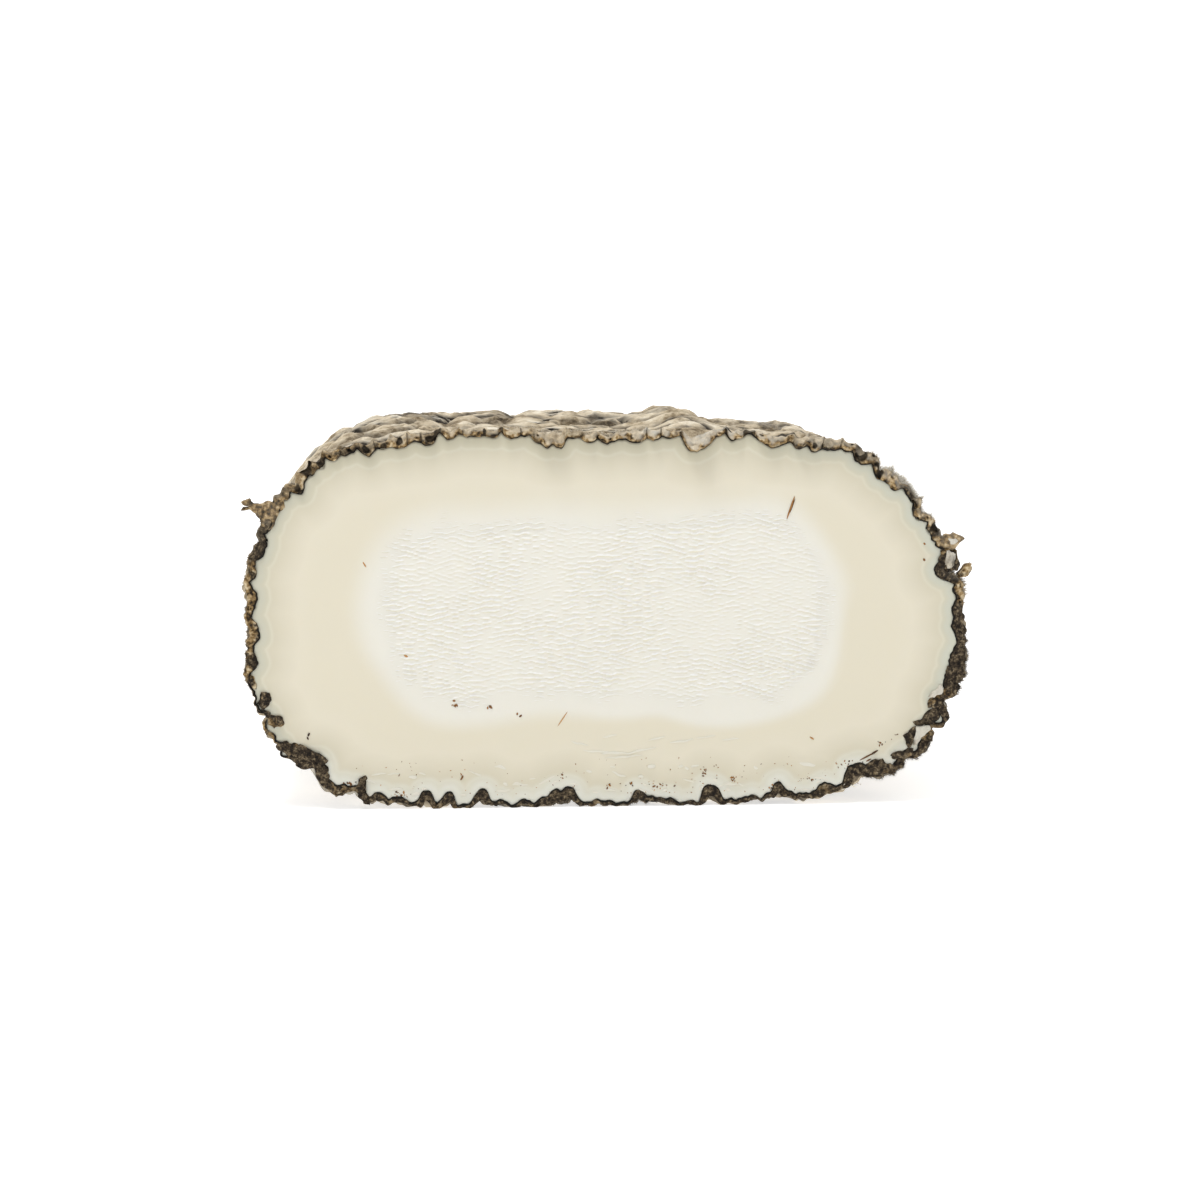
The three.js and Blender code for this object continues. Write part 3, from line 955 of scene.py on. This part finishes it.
# The curd: short wavy ridges that the cut has left across the core.
curd = {
    "reach": (42.8, 21.0),
    "middle": (0.2, 3.6),
    "step": (0.27, 0.15),
    "spacing": 0.88,
    "height": 0.18,
    "proud": 0.02,  # how far it lies in front of the paste
    "sunken": 0.12,  # how far its rim dips behind the paste
    "lit": 0.1,  # half the height over which the slope of a ridge is felt
    "tint": 1.0,  # how much painted shade the ridges' undersides get, and painted highlight their crests
    "levelHighlight": 0.05,  # painted highlight on the level parts between the ridges
    "crests": (0.1, 1.5),  # of the waves, where a ridge begins and where it is full
    "slant": 0.42,  # how much the ridges wander off the level
    "strengths": (0.55, 0.45),  # everywhere, and added in patches
    "raggedness": 1.3,  # of its edge
    "fadeIn": (-1.0, 3.6),  # how far in from the edge it begins and is whole
    "lowFade": (1.8, 4, -14),  # how much further in that is low down, and between which heights
    "thickness": 0.9,
    "waves": 60,
}


def ridgeField():
    waves = []
    for _ in range(curd["waves"]):
        upright = 2 * math.pi / (curd["spacing"] * (0.78 + 0.5 * next(pasteNumbers)))
        level = upright * curd["slant"] * (2 * next(pasteNumbers) - 1)
        waves.append((level, upright, 2 * math.pi * next(pasteNumbers)))
    waves = np.array(waves)
    return lambda flat: math.sqrt(2 / len(waves)) * np.cos(flat @ waves[:, :2].T + waves[:, 2]).sum(1)


def makeCurd():
    ridges = ridgeField()
    reach, middle = np.array(curd["reach"]), np.array(curd["middle"])
    across, up = (np.arange(-size, size + 0.01, step) for size, step in zip(reach, curd["step"]))
    bm = bmesh.new()
    bmesh.ops.create_grid(bm, x_segments=len(across) - 1, y_segments=len(up) - 1, size=1)
    flat = np.stack((np.tile(across, len(up)), np.repeat(up, len(across))), 1)
    points = np.stack((flat[:, 0] + middle[0], np.zeros(len(flat)), flat[:, 1] + middle[1]), 1)
    core, outside = coreShare(points)
    rim = (reach - np.abs(flat)).min(1)
    patch = smoothStep(-1.0, 0.6, patchField(points))
    ragged = np.minimum(-outside, rim) + curd["raggedness"] * patchField(points * 1.7 + 3)
    further, high, low = curd["lowFade"]
    ragged -= further * smoothStep(high, low, points[:, 2])
    calm, added = curd["strengths"]
    strength = (calm + added * patch) * smoothStep(*curd["fadeIn"], ragged) * smoothStep(0.4, 1.4, rim)
    shifts = (0, curd["lit"], -curd["lit"])
    flat = points[:, (0, 2)]
    relief, above, below = (smoothStep(*curd["crests"], ridges(flat + (0, shift))) for shift in shifts)
    points[:, 1] = faceLevel(points) - curd["proud"] - curd["height"] * strength * relief
    points[:, 1] += curd["sunken"] * (1 - smoothStep(0.0, 6.0, np.minimum(rim, -outside - 0.5)))
    # Painted shade where a ridge rises, painted highlight where it falls away, as if lit from above.
    under, over = (smoothStep(0.05, 0.5, lean) for lean in (above - below, below - above))
    slope = curd["tint"] * strength * (under - over - curd["levelHighlight"])
    marks = {"gap": np.ones(len(flat)), "core": core, "slope": slope}
    placeVerts(bm, toFrame(points), marks)
    bmesh.ops.recalc_face_normals(bm, faces=bm.faces)
    closeBehind(bm, curd["thickness"])
    finishPiece(bm, "curd", pasteMaterial)


makeCurd()


# Chips: flakes of rind that stand out of the cut or were dragged over it. Each has its golden share,
# its whiteness, how deep it goes in, and its rim as (across, up from the base).
chips = {
    "proud": 0.12,
    "swell": 0.3,
    "roughness": 0.12,
    "roughWavelength": 1.3,
    "rounding": 0.4,
    "whiteLift": 0.35,  # how far the white ones stand out further
    "cuts": 3,
    "seed": 311,
    "pieces": (
        (0.1, 0, 2, ((-62.4, 21.7), (-61.6, 21.9), (-60.7, 21.3), (-60.5, 20.4), (-61, 19.2),
            (-61.7, 18.6), (-62.5, 18.8), (-62.9, 19.5), (-62.7, 20.6))),
        (0.5, 0, 2, ((-65.5, 24.9), (-64.6, 25.4), (-63.6, 24.6), (-63, 23.2), (-63.2, 22.4),
            (-64.2, 22.9), (-64.8, 23.9))),
        (0.1, 0, 2.4, ((-62.5, 18.9), (-61.8, 18.9), (-60.6, 17.5), (-59.2, 17.2), (-58.5, 16.9),
            (-58.3, 16.2), (-58.9, 15.3), (-59.9, 15.2), (-60.7, 15.7), (-61.2, 15.9), (-61, 16.6))),
        (0.1, 0, 2.4, ((-59.6, 12.2), (-58.3, 12.7), (-56.9, 12.5), (-55.2, 12), (-53.1, 10.5),
            (-51.2, 9.7), (-50.6, 9.1), (-51.2, 8.3), (-53.1, 8.4), (-55.2, 8.9), (-57.3, 9.9),
            (-59.4, 10.9), (-60, 11.6))),
        (0, 0, 2, ((-51.2, 8.9), (-50.6, 7.8), (-50.4, 6.3), (-50.5, 5.1), (-51.1, 4.5), (-51.8, 5.1),
            (-52, 6.3), (-51.9, 7.4))),
        (0, 0, 2, ((-49.8, 2.9), (-48.1, 3.1), (-46.7, 3.9), (-45.4, 4.7), (-45, 5.6), (-43.9, 6.2),
            (-43.6, 5.8), (-44.4, 4.9), (-44.4, 4), (-43.9, 2.9), (-43.3, 1.6), (-43.1, 0.6),
            (-44.1, 1.1), (-45, 2.4), (-45.3, 3.6), (-46, 3.6), (-47.4, 2.9), (-49.1, 2.4))),
        (0.1, 0, 2.6, ((46.5, 6.1), (47.5, 7.4), (49.1, 8.3), (50.4, 8.3), (51.3, 7.5), (53.3, 7.2),
            (54.2, 7.7), (53.9, 6.7), (52.6, 5.7), (50.4, 5.6), (48.4, 5.1), (47.1, 5.1))),
        (0.1, 0, 2.4, ((51.8, 9), (53, 9.5), (54.6, 9.8), (55.9, 10.3), (56.2, 9.6), (55.9, 8.8),
            (54.6, 8), (53.3, 8.3), (52.1, 8.3))),
        (0, 0, 2.4, ((54.4, 12.5), (55.4, 13.8), (56.7, 14.3), (57.1, 13.5), (56.4, 12.7), (56.2, 11.6),
            (55.3, 10.1), (54.6, 11.2))),
        (0, 0.9, 1.6, ((56.5, 14.2), (58.8, 14.5), (59.3, 13.8), (58.1, 12.7), (57.4, 11.9), (56, 10.9),
            (56.2, 11.9))),
        (0.1, 0, 2.8, ((57.6, 12.2), (58.5, 13.5), (59.4, 13.9), (59.8, 12.7), (59.3, 11.5),
            (58.4, 11.2))),
        (0, 0, 2.4, ((57.2, 15.4), (58.8, 17.4), (60.4, 17.7), (60.8, 16.1), (59.8, 14.8), (58.5, 14.6),
            (56.5, 14.4), (56.1, 15))),
        (0.5, 0, 2.2, ((58.6, 19), (59.4, 20), (60.7, 19.3), (60.9, 18), (60.1, 17.6), (58.5, 17.8))),
        (0, 0.9, 1.6, ((58.8, 19.8), (59.4, 20.9), (60.9, 21.9), (61.5, 21.3), (60.9, 20.3),
            (59.7, 19.5))),
        (0.6, 0.2, 2.4, ((60.4, 48.3), (61.3, 49.2), (62.1, 49.2), (63.4, 49.8), (64.8, 48.7),
            (63.9, 47.9), (63.3, 46.9), (62.1, 46.7), (60.9, 46.7), (60.2, 47.5))),
        (0, 0.95, 2.9, ((61.8, 48.6), (62.9, 48.9), (63.6, 48.4), (62.9, 47.8), (62.1, 47.8))),
        (0.1, 0, 2.2, ((60.2, 46.6), (62.1, 46.8), (63.4, 46.6), (64.1, 43.8), (63.4, 42.7), (61.8, 42.7),
            (60.7, 43.1), (60.2, 43.8), (60.5, 45))),
        (0, 0.95, 2.9, ((61.4, 46.3), (62.7, 46.5), (63.2, 45), (62.9, 43.8), (61.8, 43.3), (61, 43.9),
            (61.2, 45))),
        (0.6, 0, 2.2, ((64.1, 42.9), (65.2, 43.9), (66.2, 44.3), (66.1, 43.1), (65.8, 42.1), (64.9, 41.5),
            (63.8, 41.6))),
        (0, 0, 2.2, ((62.1, 25.4), (64.1, 26.1), (63.9, 24.2), (63.4, 21.6), (62.6, 21), (61.9, 21.9),
            (61.8, 23.8))),
        (0.75, 0.1, 2.6, ((-57.7, 56.9), (-57.4, 55), (-58.9, 53.7), (-59.3, 52.1), (-60, 50.9),
            (-62, 50.2), (-61.7, 52.1), (-62.5, 53.7), (-63.5, 54.7), (-65, 54.5), (-64.9, 54.9),
            (-63.7, 55.1), (-64.2, 55.3), (-64.8, 55.6), (-65.2, 56), (-64.6, 56.5), (-63.9, 56.5),
            (-63.4, 55.6), (-62.1, 55.6), (-61.2, 56), (-59.7, 56.1), (-58.9, 56.8))),
    ),
}
chipNumbers = seededNumbers(chips["seed"])
roughFields = [waveField(chips["roughWavelength"], chipNumbers, 30) for _ in range(3)]


# Distances from flat points to the nearest side of a closed rim.
def rimDistance(flat, rim):
    start = np.array(rim, float)
    run = np.roll(start, -1, axis=0) - start
    share = ((flat[:, None, :] - start) * run).sum(2) / (run ** 2).sum(1)
    nearest = start + np.clip(share, 0, 1)[:, :, None] * run
    return np.sqrt(((flat[:, None, :] - nearest) ** 2).sum(2)).min(1)


def addChip(whole, golden, white, deep, rim):
    chip = bmesh.new()
    face = chip.faces.new([chip.verts.new((across, 0, up)) for across, up in rim])
    bmesh.ops.triangulate(chip, faces=[face])
    bmesh.ops.subdivide_edges(chip, edges=chip.edges, cuts=chips["cuts"], use_grid_fill=True)
    points = np.array([vert.co for vert in chip.verts])
    swell = chips["swell"] * (1 - np.exp(-rimDistance(points[:, (0, 2)], rim) / chips["rounding"]))
    rough = chips["roughness"] * np.stack([field(points) for field in roughFields], 1)
    points += rough
    points[:, 1] = lowCorner[1] - chips["proud"] - swell + rough[:, 1] - chips["whiteLift"] * (white > 0.5)
    values = (*unmarked, 1 - white, golden, 0, white)
    marks = {name: np.full(len(points), value) for name, value in zip(rindMarks, values)}
    placeVerts(chip, points * mm, marks)
    closeBehind(chip, deep)
    bmesh.ops.recalc_face_normals(chip, faces=chip.faces)
    mesh = bpy.data.meshes.new("chip")
    chip.to_mesh(mesh)
    chip.free()
    whole.from_mesh(mesh)
    bpy.data.meshes.remove(mesh)


def makeChips():
    whole = bmesh.new()
    for piece in chips["pieces"]:
        addChip(whole, *piece)
    finishPiece(whole, "chips", rindMaterial)


makeChips()


# Specks and straws on the face: brown crumbs of rind, and a few straw-like fibres.
specks = {
    "seed": 77,
    "size": (0.09, 0.25),
    # across, up, spread across and up, and number of crumbs
    "clusters": (
        (17.7, 6, 0.9, 1.6, 12), (23, 4.7, 1.2, 1.4, 14), (30.3, 3, 1.5, 0.8, 8), (44, 7, 4, 1.4, 26),
        (37, 4.5, 3.5, 1, 12), (-46.4, 4.3, 2.4, 1.6, 16), (-37.2, 2.6, 2, 0.8, 10),
        (-26.5, 5.6, 0.6, 1.2, 7), (-27.5, 19, 0.7, 0.7, 6), (-21.4, 18.6, 0.8, 0.4, 6),
        (-8.4, 5.6, 1.6, 1.2, 6), (2, 4, 5, 1, 8), (10, 4, 3, 1.2, 8), (51, 12, 3, 2, 8),
    ),
    "dust": 170,  # pale grains low on the face
    # smallest value, range and power of the draw
    "dustAcross": (-47, 94, 1),
    "dustUp": (2.4, 6.5, 1.6),
    "dustRadius": (0.05, 0.07, 1),
    "dustTone": (0.3, 0.7, 1),
    # across, up, radius and tone, from dark at 0 to orange at 1
    "placed": (
        (57.5, 47.8, 0.25, 0.6), (57.5, 44.9, 0.3, 0.4), (-53.9, 13.9, 0.28, 0), (-54.1, 13.2, 0.2, 0.1),
        (-27.7, 19.8, 0.25, 0.6), (-21.2, 18.7, 0.28, 0.4), (-16.3, 17.3, 0.22, 0.5),
        (-15.7, 16.9, 0.25, 0.3),
    ),
    # two ends, as across and up, thickness and tone
    "straws": (
        (33.8, 56.6, 32.4, 52.4, 0.34, 0.62), (33.9, 56.2, 33, 53.6, 0.18, 0.1),
        (-43.8, 45.2, -43.2, 44.2, 0.25, 0.9), (-7.2, 17.6, -9, 14.9, 0.2, 0.9),
        (-36.7, 28.3, -35.9, 27.9, 0.4, 0.9), (37, 12.5, 37.8, 12, 0.3, 0.9),
        (46.2, 8, 49.4, 9.7, 0.3, 0.2), (47.4, 7.8, 48.4, 8.3, 0.3, 0.2), (48.2, 9, 49.6, 9.9, 0.4, 0.1),
    ),
}
speckLook = ((0.0, linear(52, 41, 29)), (0.5, linear(132, 86, 38)), (1.0, linear(196, 146, 84)))


# A rough material that runs through colours by the mark tone.
def tonedMaterial(name, stops, roughness, uneven):
    material, tree, shader = newMaterial(name)
    mottled = span(noise(tree, 900), 0.3, 0.7, -uneven, uneven)
    tone = math2("ADD", mark(tree, "tone"), mottled)
    setInput(shader, "Base Color", ramp(tone, stops))
    setInput(shader, "Roughness", roughness)
    return material


def makeSpecks():
    numbers = seededNumbers(specks["seed"])
    bm = bmesh.new()
    tone = bm.verts.layers.float.new("tone")
    level = lowCorner[1] + paste["level"]

    def place(made, where, shade):
        bmesh.ops.transform(bm, matrix=where, verts=made)
        for vert in made:
            vert[tone] = shade

    spots = list(specks["placed"])
    small, large = specks["size"]
    for across, up, wide, high, count in specks["clusters"]:
        for _ in range(count):
            aside, above = (sum(next(numbers) for _ in range(3)) / 1.5 - 1 for _ in range(2))
            radius = small + (large - small) * next(numbers) ** 2
            spots.append((across + wide * aside, up + high * above, radius, 0.7 * next(numbers)))
    drawn = [specks["dust" + name] for name in ("Across", "Up", "Radius", "Tone")]
    for _ in range(specks["dust"]):
        spots.append([low + wide * next(numbers) ** power for low, wide, power in drawn])
    for across, up, radius, shade in spots:
        made = bmesh.ops.create_icosphere(bm, subdivisions=1, radius=radius * mm)["verts"]
        turn = Matrix.Rotation(math.pi * next(numbers), 4, "Y")
        squash = Matrix.Diagonal((1.0 + 0.8 * next(numbers), 0.5, 0.8, 1))
        place(made, Matrix.Translation(Vector((across, level, up)) * mm) @ turn @ squash, shade)
    for startAcross, startUp, endAcross, endUp, thick, shade in specks["straws"]:
        start, end = Vector((startAcross, level, startUp)) * mm, Vector((endAcross, level, endUp)) * mm
        made = bmesh.ops.create_icosphere(bm, subdivisions=3, radius=mm / 2)["verts"]
        aim = (end - start).to_track_quat("Z", "Y").to_matrix().to_4x4()
        stretch = Matrix.Diagonal((thick, thick, (end - start).length / mm, 1))
        place(made, Matrix.Translation((start + end) / 2) @ aim @ stretch, shade)
    finishPiece(bm, "specks", tonedMaterial("speck", speckLook, 0.85, 0.15))


makeSpecks()


# Smears: whitish paste dragged across the face by the cut, low on the log.
smears = {
    "seed": 505,
    "count": 60,
    "across": (-46.0, 46.0),
    "up": (2.6, 7.5),
    # smallest value and range of the draw
    "long": (0.4, 1.3),
    "wide": (0.12, 0.2),
    "thickness": 0.06,
    "chalkiness": 0.55,
    # across, up, half-length, half-width and turn
    "placed": (
        (-2, 10.3, 2.4, 0.2, -0.1), (1.5, 9.9, 2.6, 0.22, 0.02), (6, 10.2, 3, 0.22, 0.12),
        (3, 9.2, 3.4, 0.18, 0.05), (9, 12.6, 1.6, 0.2, 0.2), (13.5, 12, 2.2, 0.2, 0.1),
        (18, 12.7, 1.8, 0.18, 0.15), (0.5, 13, 1.4, 0.2, 0.2), (-5, 11.8, 1.6, 0.18, -0.2),
        (22.5, 12.2, 1.6, 0.16, 0.1),
    ),
}


def makeSmears():
    numbers = seededNumbers(smears["seed"])
    strokes = list(smears["placed"])
    for _ in range(smears["count"]):
        (left, right), (low, high) = smears["across"], smears["up"]
        across, up = left + (right - left) * next(numbers), low + (high - low) * next(numbers) ** 1.5
        (shortest, longer), (thinnest, wider) = smears["long"], smears["wide"]
        long, wide = shortest + longer * next(numbers) ** 2, thinnest + wider * next(numbers)
        strokes.append((across, up, long, wide, next(numbers) - 0.5))
    bm = bmesh.new()
    for across, up, long, wide, turn in strokes:
        made = bmesh.ops.create_icosphere(bm, subdivisions=3, radius=1)["verts"]
        spot = Matrix.Translation((across, lowCorner[1] + paste["level"], up))
        spot = spot @ Matrix.Rotation(-turn, 4, "Y")
        stretch = Matrix.Diagonal((long, smears["thickness"], wide, 1))
        bmesh.ops.transform(bm, matrix=spot @ stretch, verts=made)
        points = np.array([vert.co for vert in made])
        fine, broad = roughFields[0](points * 0.7), roughFields[1](points * 0.25)
        points[:, 2] += 0.3 * wide * fine + 0.4 * wide * broad
        marks = {"gap": np.ones(len(points)), "core": np.full(len(points), smears["chalkiness"])}
        placeVerts(bm, points * mm, marks)
    finishPiece(bm, "smears", pasteMaterial)


makeSmears()


# Mould fuzz: short hairs on the rind beside the cut.
fuzz = {
    "seed": 613,
    "thickness": 0.055,
    "rooted": 0.15,
    "disorder": 1.8,
    "lengths": (0.4, 0.9),  # smallest share of a tuft's length, and range of the draw
    "edgeShare": 0.75,  # of the fine edge, where the hairs stand
    "toneSpread": 0.5,
    "lean": (0, -0.25, 0),
    # clock position, half-width in degrees, hairs, tone from dark at 0 to white at 1, length
    "tufts": (
        (26, 11, 1300, 0.95, 1), (8, 5, 400, 0.6, 0.9), (352, 9, 700, 0.15, 0.8), (333, 9, 600, 0.1, 0.7),
        (178, 28, 800, 0.4, 0.55), (100, 48, 1500, 0.65, 0.5), (270, 45, 500, 0.1, 0.45),
    ),
}
fuzzLook = ((0.0, linear(48, 40, 31)), (0.5, linear(172, 152, 118)), (1.0, linear(230, 225, 213)))


def makeFuzz():
    numbers = seededNumbers(fuzz["seed"])
    corners, tones = [], []
    shortest, longer = fuzz["lengths"]
    for clock, reach, count, tone, long in fuzz["tufts"]:
        for _ in range(count):
            spread = sum(next(numbers) for _ in range(3)) / 1.5 - 1
            column = int(placeOf((clock + reach * spread) % 360) * rind["columns"]) % rind["columns"]
            ring = edgeRings[int(len(edgeRings) * fuzz["edgeShare"] * next(numbers) ** 2)][0]
            root = toFrame(ring[column:column + 1])[0] / mm
            astray = np.array([next(numbers) for _ in range(3)]) - 0.5
            aim = bandOut[column] + astray * fuzz["disorder"] + fuzz["lean"]
            aim /= np.linalg.norm(aim)
            side = np.cross(aim, (0.3, 0.9, 0.2))
            side *= fuzz["thickness"] / np.linalg.norm(side)
            other = np.cross(aim, side)
            tip = root + aim * long * (shortest + longer * next(numbers))
            foot = root - fuzz["rooted"] * aim
            left, right = (foot - side * 0.5 + turned for turned in (other * 0.87, other * -0.87))
            corners += [foot + side, left, right, tip]
            tones += [min(max(tone + fuzz["toneSpread"] * (next(numbers) - 0.5), 0), 1)] * 4
    faces = np.array(((0, 2, 1), (0, 1, 3), (1, 2, 3), (2, 0, 3)))
    starts = 4 * np.arange(len(corners) // 4)
    mesh = bpy.data.meshes.new("hairs")
    corners = np.array(corners)
    corners[:, 2] = np.maximum(corners[:, 2], lowCorner[2])
    mesh.from_pydata(corners * mm, [], (starts[:, None, None] + faces).reshape(-1, 3).tolist())
    mesh.attributes.new("tone", "FLOAT", "POINT").data.foreach_set("value", tones)
    bm = bmesh.new()
    bm.from_mesh(mesh)
    bpy.data.meshes.remove(mesh)
    finishPiece(bm, "mouldFuzz", tonedMaterial("mouldFuzz", fuzzLook, 0.95, 0.0))


makeFuzz()


# Floor, light and camera.
stage = {
    "floorReach": 20.0,
    "floorGlow": 0.6,
    "floorTone": (0.72, 0.72, 0.72, 1),
    "worldBehind": (0.02, 0.98),  # strength in front, and behind
    "worldTurn": (-0.2, 0.6),  # where it begins to rise, and is whole
    "worldAbove": (0.19, 0.68),  # what is added level, and overhead
    "keyPower": 3.6,
    "keyPlace": (-0.19, -0.26, 0.88),
    "keySize": 0.25,
    "keyAim": (0, 0, 0.03),
    "lens": 77.6,
    "distance": 466.0,
    "pitch": 7.9,
    "yaw": 3.2,
    "aim": (-1.3, 38.0),  # across and up on the cut face
}


def makeFloor():
    bm = bmesh.new()
    bmesh.ops.create_grid(bm, x_segments=1, y_segments=1, size=stage["floorReach"])
    mesh = bpy.data.meshes.new("floor")
    bm.to_mesh(mesh)
    bm.free()
    material, _, shader = newMaterial("paleFloor")
    setInput(shader, "Base Color", stage["floorTone"])
    setInput(shader, "Roughness", 0.9)
    setInput(shader, "Specular IOR Level", 0.1)
    setInput(shader, "Emission Color", (1, 1, 1, 1))
    setInput(shader, "Emission Strength", stage["floorGlow"])
    mesh.materials.append(material)
    floor = addObject("floor", mesh)


# A soft white dome, brightest overhead and behind, with a gentle lamp from the upper left.
def makeLight():
    world = bpy.data.worlds.new("softWhite")
    world.use_nodes = True
    tree = world.node_tree
    aim = addNode(tree, "ShaderNodeTexCoord").outputs["Generated"]
    parts = addNode(tree, "ShaderNodeSeparateXYZ", _0=aim).outputs
    behind = span(parts["Y"], *stage["worldTurn"], *stage["worldBehind"])
    above = span(parts["Z"], 0.0, 1.0, *stage["worldAbove"])
    background = tree.nodes["Background"]
    setInput(background, "Color", (1, 1, 1, 1))
    setInput(background, "Strength", math2("ADD", behind, above))
    bpy.context.scene.world = world
    key = bpy.data.lights.new("key", "AREA")
    key.energy = stage["keyPower"]
    key.size = stage["keySize"]
    lamp = addObject("key", key)
    lamp.location = stage["keyPlace"]
    lamp.rotation_euler = (Vector(stage["keyAim"]) - lamp.location).to_track_quat("-Z", "Y").to_euler()


def makeCamera():
    data = bpy.data.cameras.new("camera")
    data.sensor_width = 36
    data.lens = stage["lens"]
    camera = addObject("camera", data)
    pitch, yaw = math.radians(stage["pitch"]), math.radians(stage["yaw"])
    ahead = Vector((math.sin(yaw) * math.cos(pitch), math.cos(yaw) * math.cos(pitch), -math.sin(pitch)))
    target = Vector((stage["aim"][0], lowCorner[1], stage["aim"][1])) * mm
    camera.location = target - ahead * stage["distance"] * mm
    camera.rotation_euler = (math.pi / 2 - pitch, 0, -yaw)
    bpy.context.scene.camera = camera
    bpy.context.scene.view_settings.view_transform = "Standard"


makeFloor()
makeLight()
makeCamera()
print("stage, light and camera set")
